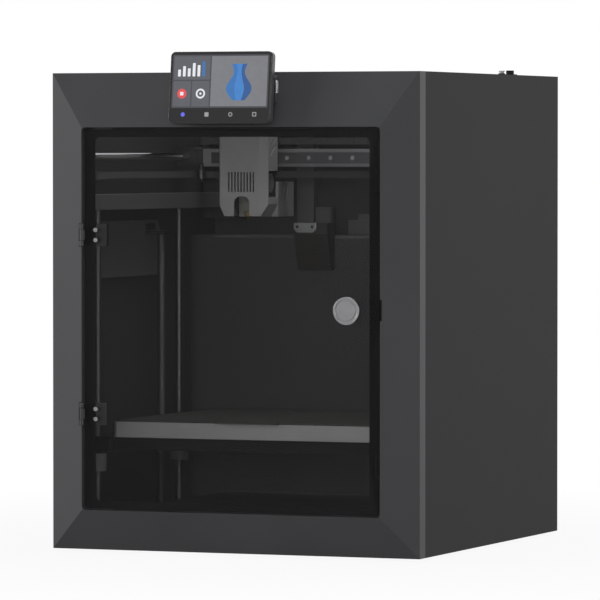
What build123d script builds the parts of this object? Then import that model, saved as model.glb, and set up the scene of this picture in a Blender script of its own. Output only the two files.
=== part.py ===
from build123d import *
import math
import os

# Enclosed box-frame 3-D printer with a rising bed and a cross rail on two Y rods. Millimetres, +Z up,
# X to the right, Y to the back. In the sizes below Y = 0 is the front plane of the body;
# every piece is moved by SHIFT_Y when it is written, so that the origin is under the middle of the whole.

# ---- body
BODY_W = 402.0
BODY_D = 425.0
BODY_H = 488.0
HALF_W = BODY_W / 2
FOOT_H = 4.0
FOOT_R = 14.0
FOOT_IN_X = 40.0        # foot centre in from each side
FOOT_IN_Y = 62.0        # foot centre in from the front
FOOT_IN_BACK = 42.0     # foot centre in from the back
PANEL_T = 2.5
INNER_T = 3.0           # chamber wall
SEAM = 0.3              # gap between neighbouring panels

# ---- front frame and its opening
BEZEL_SIDE = 38.0
BEZEL_TOP = 55.7
BEZEL_BOTTOM = 41.0
FRAME_PROUD = 13.0      # how far the inner edge stands out of the body's front plane
FRAME_RETURN = 16.0     # depth of the frame along the body's sides
FRAME_WALL = 3.0
LIP_WALL = 4.5
OPENING_R = 4.0
NOTCH_H = 21.0          # finger notch in the right inner edge
NOTCH_Z = 253.0
NOTCH_D = 2.0
STOP_W = 6.5            # door stop flange, in from the opening's edge
STOP_T = 2.5
STOP_Y = -3.0           # front face of the stop

# ---- door
DOOR_GAP = 1.4
DOOR_T = 4.0
DOOR_RECESS = 1.2       # glass behind the frame's proud edge
DOOR_R = 3.0
BORDER_T = 1.0
BORDER_W = 11.6
BORDER_R = 6.0
HINGE_H = 23.0
HINGE_ZS = (326.5, 143.5)
HINGE_DEEP = 24.2       # reach of a hinge block along the glass
HINGE_T = 6.0
BARREL_R = 2.2
PIN_R = 1.0
PIN_FIT = 0.05
KNUCKLE_GAP = 0.4
SCREW_IN = 13.9         # hinge screws in from the glass edge
SCREW_PITCH = 10.3
SCREW_R = 1.5
SCREW_HEAD_R = 2.2
SCREW_HEAD_T = 1.0
KNOB_R = 14.0
KNOB_X = 128.3
KNOB_Z = 252.1
KNOB_T = 5.0
KNOB_GROOVE = 2.0
KNOB_STEM_R = 4.0
MAGNET_T = 3.4
MAGNET_H = 24.0
MAGNET_ZS = (384.0, 96.0)

# ---- top
TOP_T = 8.0
LID_T = 3.5
LID_SIDE = 11.0         # lid edge in from the body's side
LID_FRONT = 26.0
LID_BACK = BODY_D - 49.0
LID_GAP = 0.8
LID_REST = 5.0          # width of the ledge that carries the lid
LID_HINGE_X = HALF_W - 91.0
LID_HINGE_W = 30.0
INLET_X = HALF_W - 54.5
INLET_Y = BODY_D - 27.0
TUBE_R = 2.05           # bore of the collar, for a 4 mm guide tube

# ---- screen
SCREEN_W = 111.0
SCREEN_H = 73.0
SCREEN_T = 10.0
SCREEN_GLASS_T = 1.2
SCREEN_X = -5.5
SCREEN_Z = 476.3
SCREEN_Y = -21.9
SCREEN_TILT = 6.5
SCREEN_R = 5.0
TILT_AXIS_Y = -7.6
TILT_AXIS_Z = 486.0
TILT_BARREL_R = 2.6
TILT_PIN_R = 1.2
MOUNT_X0 = -25.0
MOUNT_X1 = 50.0
MOUNT_Z0 = 461.0
EAR_T = 4.0
USB_H = 13.0
USB_W = 4.2
USB_Z = 477.0
SCREEN_EDGE = 0.5      # glass edge in from the housing edge

# ---- chamber
FLOOR_TOP = 42.0
FLOOR_T = 2.5
CHANNEL_TOP = 28.0      # lower floor beside the bed, where the guide rods stand
CHANNEL_X = HALF_W - 49.0
BASE_T = 2.5
REAR_Y = BODY_D - 73.0          # front face of the lower rear wall
REAR_T = 2.5
LEDGE_Z = 321.0
LEDGE_R = 4.0

# ---- deck beams, rods and belts
DECK_Z0 = 351.3
DECK_Z1 = 367.3
DECK_X = HALF_W - 35.0
DECK_Y1 = BODY_D - 48.5
ROD_R = 4.0
ROD_X = HALF_W - 26.0
ROD_Z = 407.0
ROD_FIT = 0.06
Y_CLAMP_D = 10.0
Y_CLAMP_FRONT = 20.0
Y_ROD_BACK = BODY_D - 31.0
BELT_T = 1.4
BELT_H = 7.0
BELT_LOW_Z = ROD_Z - 23.5
BELT_HIGH_Z = ROD_Z + 12.5
PULLEY_R = 4.4          # to the inside of the belt
FLANGE_R = 6.3
PULLEY_H = 8.6
PULLEY_X = HALF_W - 27.0
FRONT_IDLER_Y = 42.0
REAR_IDLER_Y = BODY_D - 26.4
IDLER_PIN_R = 1.5
MOTOR_W = 42.3
MOTOR_H = 40.0
MOTOR_SHAFT_R = 2.5
MOTOR_PLATE_T = 3.0

# ---- gantry
GANTRY_Y = 290.0        # front face of the Y carriages at rest
CAR_X0 = HALF_W - 37.8          # outside the print head's sweep
CAR_X1 = HALF_W - 14.0
CAR_D = 38.0
CAR_H = 19.0
BEAM_H = 19.0
BEAM_D = 20.0
BEAM_WALL = 2.0
RAIL_Z = ROD_Z - 2.0
RAIL_W = 12.0
RAIL_T = 8.0
RAIL_LEN = BODY_W - 102.0
RAIL_PITCH = 25.0
RAIL_SCREW_R = 2.2
BLOCK_LEN = 34.7
BLOCK_W = 27.0
BLOCK_T = 11.0
BLOCK_FIT = 0.15

# ---- toolhead, at rest
NOZZLE_X = -100.5
NOZZLE_Y = GANTRY_Y - 5.5
NOZZLE_TIP = 339.3
COVER_X0 = -126.6
COVER_X1 = -72.4
COVER_Y0 = GANTRY_Y - 25.0
COVER_Y1 = GANTRY_Y + 8.2         # clear of the rail and of the idlers on the beam
COVER_Z0 = 342.8
COVER_Z1 = 448.0
COVER_T = 2.0
COVER_CHAMFER_X = 7.4
COVER_CHAMFER_Y = 7.0
COVER_FOOT_Z = 12.8
COVER_FOOT_X = 6.4
ARCH_W = 18.0
ARCH_H = 21.0
SLOT_N = 9
SLOT_W = 1.7
SLOT_PITCH = 3.54
SLOT_Z0 = 368.3
SLOT_Z1 = 389.7
WINDOW_Z0 = 363.0
WINDOW_Z1 = 391.0
SHROUD_X0 = -118.0
SHROUD_Y1 = GANTRY_Y + 56.0
SHROUD_Z1 = 379.2
SHROUD_WALL = 2.4
PLATE_T = 4.0
PLATE_X0 = -119.0
PLATE_X1 = -89.5
FAN_W = 30.0
FAN_T = 10.0
FAN_Z = 379.0
BLOWER_T = 12.0
BLOWER_Y0 = COVER_Y0 + 9.4
BLOWER_Z0 = 362.0
BLOWER_Z1 = 391.2
BLOWER_DUCT_INSET = 4.8  # keeps the duct off the cover's tapered foot
BLOWER_AXIS_Y = COVER_Y0 + 21.05
BLOWER_AXIS_Z = 378.0
IMPELLER_R = 10.0
FITTING_R = 4.0         # tube fitting on top of the extruder
EXT_MOTOR_DX = 0.5      # from the nozzle's axis, inside the cover's chamfer
EXTRUDER_Z0 = 397.0
EXTRUDER_Z1 = 444.0
EXT_MOTOR_R = 18.0
EXT_MOTOR_T = 11.4
EXT_MOTOR_Z = 418.0

# ---- bed, at rest
BED_TOP = 135.0
BED_X = HALF_W - 51.0
BED_Y0 = 36.0
BED_Y1 = REAR_Y - 36.0
BED_SKIRT = 16.0
BED_WALL = 3.0
BED_PLATE_T = 5.0
SHEET_T = 1.5
SHEET_IN = 1.5
ARM_X = HALF_W - 14.0
ARM_Z0 = 104.0
ARM_Y0 = 42.0
SCREW_Y = BODY_D - 204.0
Z_ROD_YS = (54.0, SCREW_Y + 49.0)
ARM_Y1 = Z_ROD_YS[1] + 12.0
BEARING_R = 7.5
BEARING_LEN = 24.0
BOSS_R = 9.6
LEAD_R = 4.0
LEAD_FIT = 0.1
JOURNAL_R = 3.0
SCREW_TOP = 326.5
NUT_R = 5.1
NUT_FLANGE_R = 11.0
NUT_FLANGE_T = 3.5
SOCKET_R = 8.0
SOCKET_H = 16.0

# ---- wall covers, chute, ledge and back
COVER_BOX = (68.0, 250.0, 280.0, 338.6)
COVER_BOX_T = 6.5
COVER_BOX_R = 12.0
LEDGE_BOX_Y = BODY_D - 22.0          # front of the small boxes on the rear ledge
LEDGE_BOX_D = 12.0
DUCT_Y = BODY_D - 19.0
BRACKET_T = 4.0
CHUTE_X0 = -66.7
CHUTE_X1 = -27.7
CHUTE_TOP = 335.0
CHUTE_BOTTOM = 284.0
CHUTE_D = 22.0
CHUTE_D_LOW = 9.0
CHUTE_WALL = 2.0
FAN80_W = 80.0
FAN80_T = 25.0
FAN80_X = HALF_W - 96.0
FAN80_Z = 250.0
ROTOR_GAP = 1.0
PSU_BOX = (16.0 - HALF_W, 30.0, 10.0, 125.0)
PSU_T = 30.0
BOARD_BOX = (51.0 - HALF_W, 0.0, 160.0, 265.0)
INLET_BOX = (36.0 - HALF_W, 88.0 - HALF_W, 140.0, 168.0)
ROCKER_W = 13.0
ROCKER_H = 19.0
SOCKET_DEEP = 16.0
INLET_RIM_T = 2.0       # how far the mains inlet stands out of the back

Z0 = FOOT_H
Z1 = FOOT_H + BODY_H
OPEN_X = HALF_W - BEZEL_SIDE
OPEN_Z0 = Z0 + BEZEL_BOTTOM
OPEN_Z1 = Z1 - BEZEL_TOP
SIDE_IN = HALF_W - PANEL_T              # inner face of a side panel
WALL_IN = SIDE_IN - INNER_T             # inner face of a chamber wall
BACK_IN = BODY_D - PANEL_T
GLASS_Y0 = -FRAME_PROUD + DOOR_RECESS
GLASS_Y1 = GLASS_Y0 + DOOR_T
GLASS_X = OPEN_X - DOOR_GAP
HINGE_X = -(OPEN_X - 0.4)
HINGE_Y = -FRAME_PROUD - 0.2
LID_AXIS_Y = LID_BACK + 3.0
LID_AXIS_Z = Z1 + 0.4

tilt = math.radians(SCREEN_TILT)
SCREEN_LOW_Y = SCREEN_Y - (SCREEN_H / 2 - SCREEN_EDGE) * math.sin(tilt) - SCREEN_GLASS_T * math.cos(tilt)
USB_Y = TILT_AXIS_Y - TILT_BARREL_R + 0.8 + USB_W / 2
SHIFT_Y = -(SCREEN_LOW_Y + BODY_D + INLET_RIM_T) / 2


def box(x0, x1, y0, y1, z0, z1):
    return Pos((x0 + x1) / 2, (y0 + y1) / 2, (z0 + z1) / 2) * Box(abs(x1 - x0), abs(y1 - y0), abs(z1 - z0))


def rod(axis, a, b, u, v, r):
    """A cylinder from a to b along an axis; u and v are the other two coordinates in order."""
    middle, length = (a + b) / 2, b - a
    if axis == "x":
        return Pos(middle, u, v) * Rot(0, 90, 0) * Cylinder(r, length)
    if axis == "y":
        return Pos(u, middle, v) * Rot(90, 0, 0) * Cylinder(r, length)
    return Pos(u, v, middle) * Cylinder(r, length)


def slab_y(x0, x1, z0, z1, y0, y1, r):
    """A plate between y0 and y1 whose corners, seen from the front, have radius r."""
    face = Pos((x0 + x1) / 2, (z0 + z1) / 2) * RectangleRounded(x1 - x0, z1 - z0, r)
    return extrude(Plane.XZ.offset(-y1) * face, y1 - y0)


def slab_x(y0, y1, z0, z1, x0, x1, r):
    """The same for a plate between x0 and x1, seen from the side."""
    face = Pos((y0 + y1) / 2, (z0 + z1) / 2) * RectangleRounded(y1 - y0, z1 - z0, r)
    return extrude(Plane.YZ.offset(x0) * face, x1 - x0)


def mirrored(shape):
    return mirror(shape, Plane.YZ)


def save(name, *shapes):
    solids = [s for shape in shapes for s in shape.solids()]
    whole = Compound(children=solids) if len(solids) > 1 else solids[0]
    export_step(Pos(0, SHIFT_Y, 0) * whole, f"parts/{name}.step")


def front_frame():
    """A mitred moulding: its faces rise forward from the outer edge to the opening."""
    def ring_face(x, z0, z1, y):
        return Plane.XZ.offset(-y) * Pos(0, (z0 + z1) / 2) * Rectangle(2 * x, z1 - z0)

    def frustum(out, back, inner, front):
        return loft([ring_face(HALF_W - out, Z0 + out, Z1 - out, back),
                     ring_face(OPEN_X + inner, OPEN_Z0 - inner, OPEN_Z1 + inner, front)])

    solid = frustum(0, 0, 0, -FRAME_PROUD) + box(-HALF_W, HALF_W, 0, FRAME_RETURN, Z0, Z1)
    hollow = frustum(FRAME_WALL, FRAME_WALL, LIP_WALL, -FRAME_PROUD + FRAME_WALL)
    side = HALF_W - FRAME_WALL
    hollow += box(-side, side, FRAME_WALL, FRAME_RETURN + 1, Z0 + FRAME_WALL, Z1 - FRAME_WALL)
    lip_x = OPEN_X + LIP_WALL
    hollow -= box(-lip_x, lip_x, -FRAME_PROUD - 5, FRAME_RETURN + 5, OPEN_Z0 - LIP_WALL, OPEN_Z1 + LIP_WALL)
    frame = solid - hollow
    frame -= slab_y(-OPEN_X, OPEN_X, OPEN_Z0, OPEN_Z1, -FRAME_PROUD - 5, FRAME_RETURN + 5, OPENING_R)
    for z in HINGE_ZS:
        frame -= box(-OPEN_X - 3.6, -OPEN_X + 1, -FRAME_PROUD - 2, -FRAME_PROUD + 3.4,
                     z - HINGE_H / 2 - 0.4, z + HINGE_H / 2 + 0.4)
    frame -= box(OPEN_X - 1, OPEN_X + NOTCH_D, -FRAME_PROUD - 5, STOP_Y, NOTCH_Z - NOTCH_H / 2,
                 NOTCH_Z + NOTCH_H / 2)
    stop = slab_y(-OPEN_X, OPEN_X, OPEN_Z0, OPEN_Z1, STOP_Y, STOP_Y + STOP_T, OPENING_R)
    stop -= box(-OPEN_X - 1, OPEN_X - STOP_W, STOP_Y - 1, STOP_Y + STOP_T + 1, OPEN_Z0 + STOP_W,
                OPEN_Z1 - STOP_W)
    stop -= box(-OPEN_X - 1, -OPEN_X + HINGE_DEEP + 6, STOP_Y - 1, STOP_Y + STOP_T + 1, OPEN_Z0 - 1,
                OPEN_Z1 + 1)
    return frame + stop


def fixed_knuckles():
    """Door: two knuckles and a tab at each hinge. Lid: two knuckles and a foot at each hinge."""
    leaves = []
    for z in HINGE_ZS:
        low, high = z - HINGE_H / 2, z + HINGE_H / 2
        leaf = box(-OPEN_X - 3.6, -OPEN_X - 2.4, -FRAME_PROUD, -FRAME_PROUD + 3.4, low, high)
        for a, b in ((low, low + 5.5), (high - 5.5, high)):
            leaf += rod("z", a, b, HINGE_X, HINGE_Y, BARREL_R)
            leaf += box(-OPEN_X - 3.0, HINGE_X, HINGE_Y, HINGE_Y + 1.6, a, b)
        leaf -= rod("z", low - 1, high + 1, HINGE_X, HINGE_Y, PIN_R)
        leaves.append(leaf)
    for x in (-LID_HINGE_X, LID_HINGE_X):
        low, high = x - LID_HINGE_W / 2, x + LID_HINGE_W / 2
        leaf = box(low, high, LID_AXIS_Y + 3.2, LID_AXIS_Y + 12, Z1, Z1 + 1.2)
        for a, b in ((low, low + 7), (high - 7, high)):
            leaf += rod("x", a, b, LID_AXIS_Y, LID_AXIS_Z, BARREL_R) & box(a, b, 0, BODY_D, Z1, Z1 + 9)
            leaf += box(a, b, LID_AXIS_Y, LID_AXIS_Y + 4, Z1, Z1 + 1.2)
        leaf -= rod("x", low - 1, high + 1, LID_AXIS_Y, LID_AXIS_Z, PIN_R)
        leaves.append(leaf)
    return leaves


def hinge_pins():
    pins = [rod("z", z - HINGE_H / 2, z + HINGE_H / 2, HINGE_X, HINGE_Y, PIN_R) for z in HINGE_ZS]
    for x in (-LID_HINGE_X, LID_HINGE_X):
        pins.append(rod("x", x - LID_HINGE_W / 2, x + LID_HINGE_W / 2, LID_AXIS_Y, LID_AXIS_Z, PIN_R))
    pins.append(rod("x", MOUNT_X0 - EAR_T - 0.5, MOUNT_X0 + 45.0, TILT_AXIS_Y, TILT_AXIS_Z, TILT_PIN_R))
    return pins


def door_glass():
    glass = slab_y(-GLASS_X, GLASS_X, OPEN_Z0 + DOOR_GAP, OPEN_Z1 - DOOR_GAP, GLASS_Y0, GLASS_Y1, DOOR_R)
    for z in HINGE_ZS:
        glass -= box(-GLASS_X - 1, -GLASS_X + 2.2, GLASS_Y0 - 1, GLASS_Y1 + 1, z - HINGE_H / 2 - 0.5,
                     z + HINGE_H / 2 + 0.5)
        for dz in (-SCREW_PITCH / 2, SCREW_PITCH / 2):
            glass -= rod("y", GLASS_Y0 - 1, GLASS_Y1 + 1, -GLASS_X + SCREW_IN, z + dz, SCREW_R)
    return glass - rod("y", GLASS_Y0 - 1, GLASS_Y1 + 1, KNOB_X, KNOB_Z, KNOB_STEM_R)


def door_border():
    y0, y1 = GLASS_Y1, GLASS_Y1 + BORDER_T
    edge = 0.4
    z0, z1 = OPEN_Z0 + DOOR_GAP + edge, OPEN_Z1 - DOOR_GAP - edge
    border = slab_y(-GLASS_X + edge, GLASS_X - edge, z0, z1, y0, y1, DOOR_R)
    clear_x = GLASS_X - BORDER_W
    border -= slab_y(-clear_x, clear_x, z0 + BORDER_W - 3.6, z1 - BORDER_W + 3.6, y0 - 1, y1 + 1, BORDER_R)
    for z in HINGE_ZS:
        border -= box(-GLASS_X - 1, -GLASS_X + 2.2, y0 - 1, y1 + 1, z - HINGE_H / 2 - 0.5,
                      z + HINGE_H / 2 + 0.5)
    return border


def door_hinges():
    """A knuckle in front, a web round the glass edge and a block behind the glass."""
    blocks = []
    for z in HINGE_ZS:
        low, high = z - HINGE_H / 2 + 5.5 + KNUCKLE_GAP, z + HINGE_H / 2 - 5.5 - KNUCKLE_GAP
        y0 = GLASS_Y1 + BORDER_T
        block = box(-GLASS_X, -OPEN_X + 1 + HINGE_DEEP, y0, y0 + HINGE_T, z - HINGE_H / 2, z + HINGE_H / 2)
        block += box(-GLASS_X, -GLASS_X + 1.9, HINGE_Y, y0 + 1, low, high)
        block += rod("z", low, high, HINGE_X, HINGE_Y, BARREL_R) + box(HINGE_X, -GLASS_X + 1, HINGE_Y,
                                                                       HINGE_Y + 1.6, low, high)
        block -= rod("z", low - 1, high + 1, HINGE_X, HINGE_Y, PIN_R + PIN_FIT)
        for dz in (-SCREW_PITCH / 2, SCREW_PITCH / 2):
            block -= rod("y", y0 - 1, y0 + HINGE_T - 1, -GLASS_X + SCREW_IN, z + dz, SCREW_R)
        blocks.append(block)
    return blocks


def hinge_screws():
    screws = []
    for z in HINGE_ZS:
        for dz in (-SCREW_PITCH / 2, SCREW_PITCH / 2):
            x, y1 = -GLASS_X + SCREW_IN, GLASS_Y1 + BORDER_T + HINGE_T - 1
            screw = rod("y", GLASS_Y0 - SCREW_HEAD_T, GLASS_Y0, x, z + dz, SCREW_HEAD_R)
            screw -= rod("y", GLASS_Y0 - SCREW_HEAD_T - 1, GLASS_Y0 - 0.4, x, z + dz, SCREW_R / 2)
            screws.append(screw + rod("y", GLASS_Y0, y1, x, z + dz, SCREW_R))
    return screws


def door_knob():
    face = GLASS_Y0 - KNOB_T
    knob = rod("y", face, GLASS_Y0, KNOB_X, KNOB_Z, KNOB_R)
    knob -= rod("y", face - 1, face + 1.2, KNOB_X, KNOB_Z, KNOB_R - 2.2) - rod(
        "y", face - 2, face + 2, KNOB_X, KNOB_Z, KNOB_R - 2.2 - KNOB_GROOVE)
    knob += rod("y", GLASS_Y0, GLASS_Y1, KNOB_X, KNOB_Z, KNOB_STEM_R)
    return knob + rod("y", GLASS_Y1, GLASS_Y1 + 3, KNOB_X, KNOB_Z, KNOB_STEM_R + 3)


def door_magnets():
    x1 = OPEN_X - 2.2
    y0 = GLASS_Y1 + BORDER_T
    return [box(x1 - 5, x1, y0, y0 + MAGNET_T, z - MAGNET_H / 2, z + MAGNET_H / 2) for z in MAGNET_ZS]


def side_panel():
    return box(SIDE_IN, HALF_W, FRAME_RETURN + SEAM, BODY_D, Z0, Z1)


def back_panel():
    panel = box(-SIDE_IN, SIDE_IN, BACK_IN, BODY_D, Z0 + BASE_T, Z1 - TOP_T)
    x0, x1, z0, z1 = INLET_BOX
    panel -= box(x0, x1, BACK_IN - 1, BODY_D + 1, z0, z1)
    for ring in range(1, 5):
        outer = ring * 8.4
        slot = rod("y", BACK_IN - 1, BODY_D + 1, FAN80_X, FAN80_Z, outer)
        slot -= rod("y", BACK_IN - 2, BODY_D + 2, FAN80_X, FAN80_Z, outer - 4.2)
        for turn in (45, 135):
            bar = Box(2.4 * outer, 40, 5)
            slot -= Pos(FAN80_X, BODY_D, FAN80_Z) * Rot(0, turn, 0) * bar
        panel -= slot
    bx0, bx1, bz0, bz1 = BOARD_BOX
    for row in range(9):
        z = bz0 + 12 + row * 9.0
        panel -= slab_y(bx0 + 15, bx1 - 15, z, z + 3.6, BACK_IN - 1, BODY_D + 1, 1.7)
    return panel


def top_frame():
    x, z0 = SIDE_IN, Z1 - TOP_T
    top = box(-x, x, FRAME_RETURN + SEAM, BODY_D, z0, Z1)
    lid_x = HALF_W - LID_SIDE
    top -= box(-lid_x - LID_GAP, lid_x + LID_GAP, LID_FRONT - LID_GAP, LID_BACK + LID_GAP + 1.4,
               Z1 - LID_T, Z1 + 1)
    hole_x = lid_x - LID_REST
    top -= box(-hole_x, hole_x, LID_FRONT + LID_REST, LID_BACK - LID_REST, z0 - 1, Z1 + 1)
    for x in (-LID_HINGE_X, LID_HINGE_X):
        top -= box(x - LID_HINGE_W / 2 - 0.5, x + LID_HINGE_W / 2 + 0.5, LID_BACK, LID_AXIS_Y + 3.2,
                   Z1 - 2.6, Z1 + 1)
        for a, b in ((x - LID_HINGE_W / 2, x - LID_HINGE_W / 2 + 7),
                     (x + LID_HINGE_W / 2 - 7, x + LID_HINGE_W / 2)):
            top += box(a, b, LID_AXIS_Y, LID_AXIS_Y + 3.2, Z1 - 2.6, Z1)
            top -= rod("x", a - 1, b + 1, LID_AXIS_Y, LID_AXIS_Z, PIN_R + PIN_FIT)
    top += box(INLET_X - 4.5, INLET_X + 15, INLET_Y - 7, INLET_Y + 7, Z1, Z1 + 2.5)
    top += rod("z", Z1 + 2.5, Z1 + 6.5, INLET_X + 9.5, INLET_Y, 4.2)
    top += rod("z", Z1 + 2.5, Z1 + 3.6, INLET_X, INLET_Y, 3.6)
    return top - rod("z", z0 - 1, Z1 + 12, INLET_X, INLET_Y, 2.1) - rod("z", Z1 - 3, Z1 + 12, INLET_X,
                                                                        INLET_Y, 2.6)


def inlet_collar():
    collar = rod("z", Z1 - 1, Z1 + 5.2, INLET_X, INLET_Y, 2.6 - ROD_FIT) + rod("z", Z1 + 5.2, Z1 + 6.4,
                                                                               INLET_X, INLET_Y, 3.4)
    return collar - rod("z", Z1 - 4, Z1 + 12, INLET_X, INLET_Y, TUBE_R)


def lid_glass():
    x = HALF_W - LID_SIDE
    return box(-x, x, LID_FRONT, LID_BACK - 0.6, Z1 - LID_T, Z1)


def lid_hinges():
    leaves = []
    for x in (-LID_HINGE_X, LID_HINGE_X):
        low, high = x - LID_HINGE_W / 2 + 7 + KNUCKLE_GAP, x + LID_HINGE_W / 2 - 7 - KNUCKLE_GAP
        leaf = rod("x", low, high, LID_AXIS_Y, LID_AXIS_Z, BARREL_R)
        leaf += box(low, high, LID_BACK - 16, LID_AXIS_Y, Z1, Z1 + 1.2)
        leaves.append(leaf - rod("x", low - 1, high + 1, LID_AXIS_Y, LID_AXIS_Z, PIN_R + PIN_FIT))
    return leaves


def screen_place(shape):
    """From the screen's own frame (face in XZ at Y = 0, centre at the origin) to its place."""
    return Pos(SCREEN_X, SCREEN_Y, SCREEN_Z) * Rot(-SCREEN_TILT, 0, 0) * shape


def screen_housing():
    half_w, half_h = SCREEN_W / 2, SCREEN_H / 2
    body = slab_y(-half_w, half_w, -half_h, half_h, 0, SCREEN_T - 3, SCREEN_R)
    body += slab_y(-half_w + 3, half_w - 3, -half_h + 3, half_h - 3, SCREEN_T - 3, SCREEN_T, SCREEN_R - 2)
    body = screen_place(body)
    for x in (MOUNT_X0 - EAR_T, MOUNT_X0 + 41.5):
        ear = rod("x", x, x + EAR_T - 0.5, TILT_AXIS_Y, TILT_AXIS_Z, TILT_BARREL_R)
        ear += box(x, x + EAR_T - 0.5, TILT_AXIS_Y - 6, TILT_AXIS_Y, TILT_AXIS_Z - 2.5, TILT_AXIS_Z + 1.5)
        body += ear - rod("x", x - 1, x + EAR_T + 1, TILT_AXIS_Y, TILT_AXIS_Z, TILT_PIN_R + PIN_FIT)
    return body


def screen_glass():
    w, h = SCREEN_W / 2 - SCREEN_EDGE, SCREEN_H / 2 - SCREEN_EDGE
    return screen_place(slab_y(-w, w, -h, h, -SCREEN_GLASS_T, 0, SCREEN_R - SCREEN_EDGE))


def bezel_y(z):
    """Front face of the top bezel at height z."""
    return -FRAME_PROUD * (Z1 - z) / BEZEL_TOP


def screen_mount():
    front = TILT_AXIS_Y - TILT_BARREL_R
    outline = Plane.YZ.offset(MOUNT_X0) * make_face(Polyline(
        (bezel_y(MOUNT_Z0), MOUNT_Z0), (front, MOUNT_Z0 + 4), (front, TILT_AXIS_Z),
        (TILT_AXIS_Y, TILT_AXIS_Z + TILT_BARREL_R), (bezel_y(TILT_AXIS_Z + 2),
                                                     TILT_AXIS_Z + 2), close=True))
    mount = extrude(outline, MOUNT_X1 - MOUNT_X0)
    slot_x = MOUNT_X0 + 41
    mount -= box(slot_x, slot_x + EAR_T + 0.5, front - 1, TILT_AXIS_Y + 4, TILT_AXIS_Z - 4.5,
                 TILT_AXIS_Z + 4)
    mount -= rod("x", MOUNT_X0 - 1, MOUNT_X0 + 45.0, TILT_AXIS_Y, TILT_AXIS_Z, TILT_PIN_R)
    y, z = USB_Y, USB_Z
    return mount - box(MOUNT_X1 - 8, MOUNT_X1 + 1, y - USB_W / 2, y + USB_W / 2, z - USB_H / 2,
                       z + USB_H / 2)


def usb_port():
    y, z = USB_Y, USB_Z
    sleeve = box(MOUNT_X1 - 8, MOUNT_X1 + 0.4, y - USB_W / 2, y + USB_W / 2, z - USB_H / 2, z + USB_H / 2)
    wall = 0.5
    sleeve -= box(MOUNT_X1 - 7, MOUNT_X1 + 1, y - USB_W / 2 + wall, y + USB_W / 2 - wall,
                  z - USB_H / 2 + wall,
                  z + USB_H / 2 - wall)
    return sleeve + box(MOUNT_X1 - 7, MOUNT_X1 - 0.6, y - USB_W / 2 + wall, y - USB_W / 2 + 2.2,
                        z - 5.4, z + 5.4)


def base_tray():
    tray = box(-SIDE_IN, SIDE_IN, FRAME_RETURN, BODY_D - PANEL_T, Z0, Z0 + BASE_T)
    return tray + box(-SIDE_IN, SIDE_IN, BACK_IN, BODY_D, Z0, Z0 + BASE_T)


def feet():
    x = HALF_W - FOOT_IN_X
    ys = (FOOT_IN_Y, BODY_D - FOOT_IN_BACK)
    return [rod("z", 0, FOOT_H, sx * x, y, FOOT_R) for sx in (-1, 1) for y in ys]


def chamber_walls():
    """Left and right walls and the upper rear wall, with the belt and lead screw side left plain."""
    z0, z1 = CHANNEL_TOP - FLOOR_T, Z1 - TOP_T
    side = box(WALL_IN, SIDE_IN, FRAME_RETURN, BACK_IN, z0, z1)
    rear = box(-WALL_IN, WALL_IN, BACK_IN - 2.5, BACK_IN, LEDGE_Z, z1)
    rear -= slab_y(70, 120, 440, 470, BACK_IN - 4, BACK_IN + 1, 4)
    return [side, mirrored(side), rear]


def chamber_floor():
    """One bent sheet: a raised middle under the bed and a lower channel at each side for the rods."""
    y0, y1 = FRAME_RETURN, REAR_Y
    floor = box(-CHANNEL_X, CHANNEL_X, y0, y1, FLOOR_TOP - FLOOR_T, FLOOR_TOP)
    for sx in (-1, 1):
        a, b = sorted((sx * CHANNEL_X, sx * (CHANNEL_X - FLOOR_T)))
        floor += box(a, b, y0, y1, CHANNEL_TOP - FLOOR_T, FLOOR_TOP)
        a, b = sorted((sx * (CHANNEL_X - FLOOR_T), sx * WALL_IN))
        floor += box(a, b, y0, y1, CHANNEL_TOP - FLOOR_T, CHANNEL_TOP)
        floor -= rod("z", 0, FLOOR_TOP, sx * ROD_X, SCREW_Y, LEAD_R + 1.5)
        for y in Z_ROD_YS:
            floor -= rod("z", 0, FLOOR_TOP, sx * ROD_X, y, ROD_R)
    return floor


def rear_wall():
    """The lower rear wall with the ledge that its top edge is bent into."""
    outer = Plane.YZ.offset(-WALL_IN) * Pos((REAR_Y + BACK_IN) / 2,
                                            (Z0 + BASE_T + LEDGE_Z) / 2) * Rectangle(
        BACK_IN - REAR_Y, LEDGE_Z - Z0 - BASE_T)
    solid = extrude(outer, 2 * WALL_IN)
    edge = solid.edges().filter_by(Axis.X).sort_by_distance((0, REAR_Y, LEDGE_Z))[0]
    solid = fillet(edge, LEDGE_R)
    inner = box(-WALL_IN - 1, WALL_IN + 1, REAR_Y + REAR_T, BACK_IN + 1, 0, LEDGE_Z - REAR_T)
    inner_edge = inner.edges().filter_by(Axis.X).sort_by_distance((0, REAR_Y + REAR_T, LEDGE_Z - REAR_T))[0]
    solid -= fillet(inner_edge, LEDGE_R - REAR_T)
    for i in range(9):
        z = FAN80_Z - 28 + i * 7
        solid -= slab_y(FAN80_X - 32, FAN80_X + 32, z - 1.6, z + 1.6, REAR_Y - 1, REAR_Y + REAR_T + 1, 1.5)
    return solid


def deck_beams():
    beam = box(DECK_X, WALL_IN, FRAME_RETURN, DECK_Y1, DECK_Z0, DECK_Z1)
    beam -= box(DECK_X + 2, WALL_IN - 2, FRAME_RETURN + 4, DECK_Y1 - 4, DECK_Z0 - 1, DECK_Z1 - 2)
    ribs = [box(ROD_X - 7, WALL_IN - 1, y - 7, y + 7, DECK_Z0, DECK_Z1) for y in Z_ROD_YS]
    beam += ribs[0] + ribs[1]
    return [mirrored(beam), beam]


def guide_rods():
    rods = []
    for sx in (-1, 1):
        rods.append(rod("y", Y_CLAMP_FRONT - 3, Y_ROD_BACK, sx * ROD_X, ROD_Z, ROD_R))
        rods += [rod("z", CHANNEL_TOP - SOCKET_H, DECK_Z0, sx * ROD_X, y, ROD_R) for y in Z_ROD_YS]
    return rods


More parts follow.
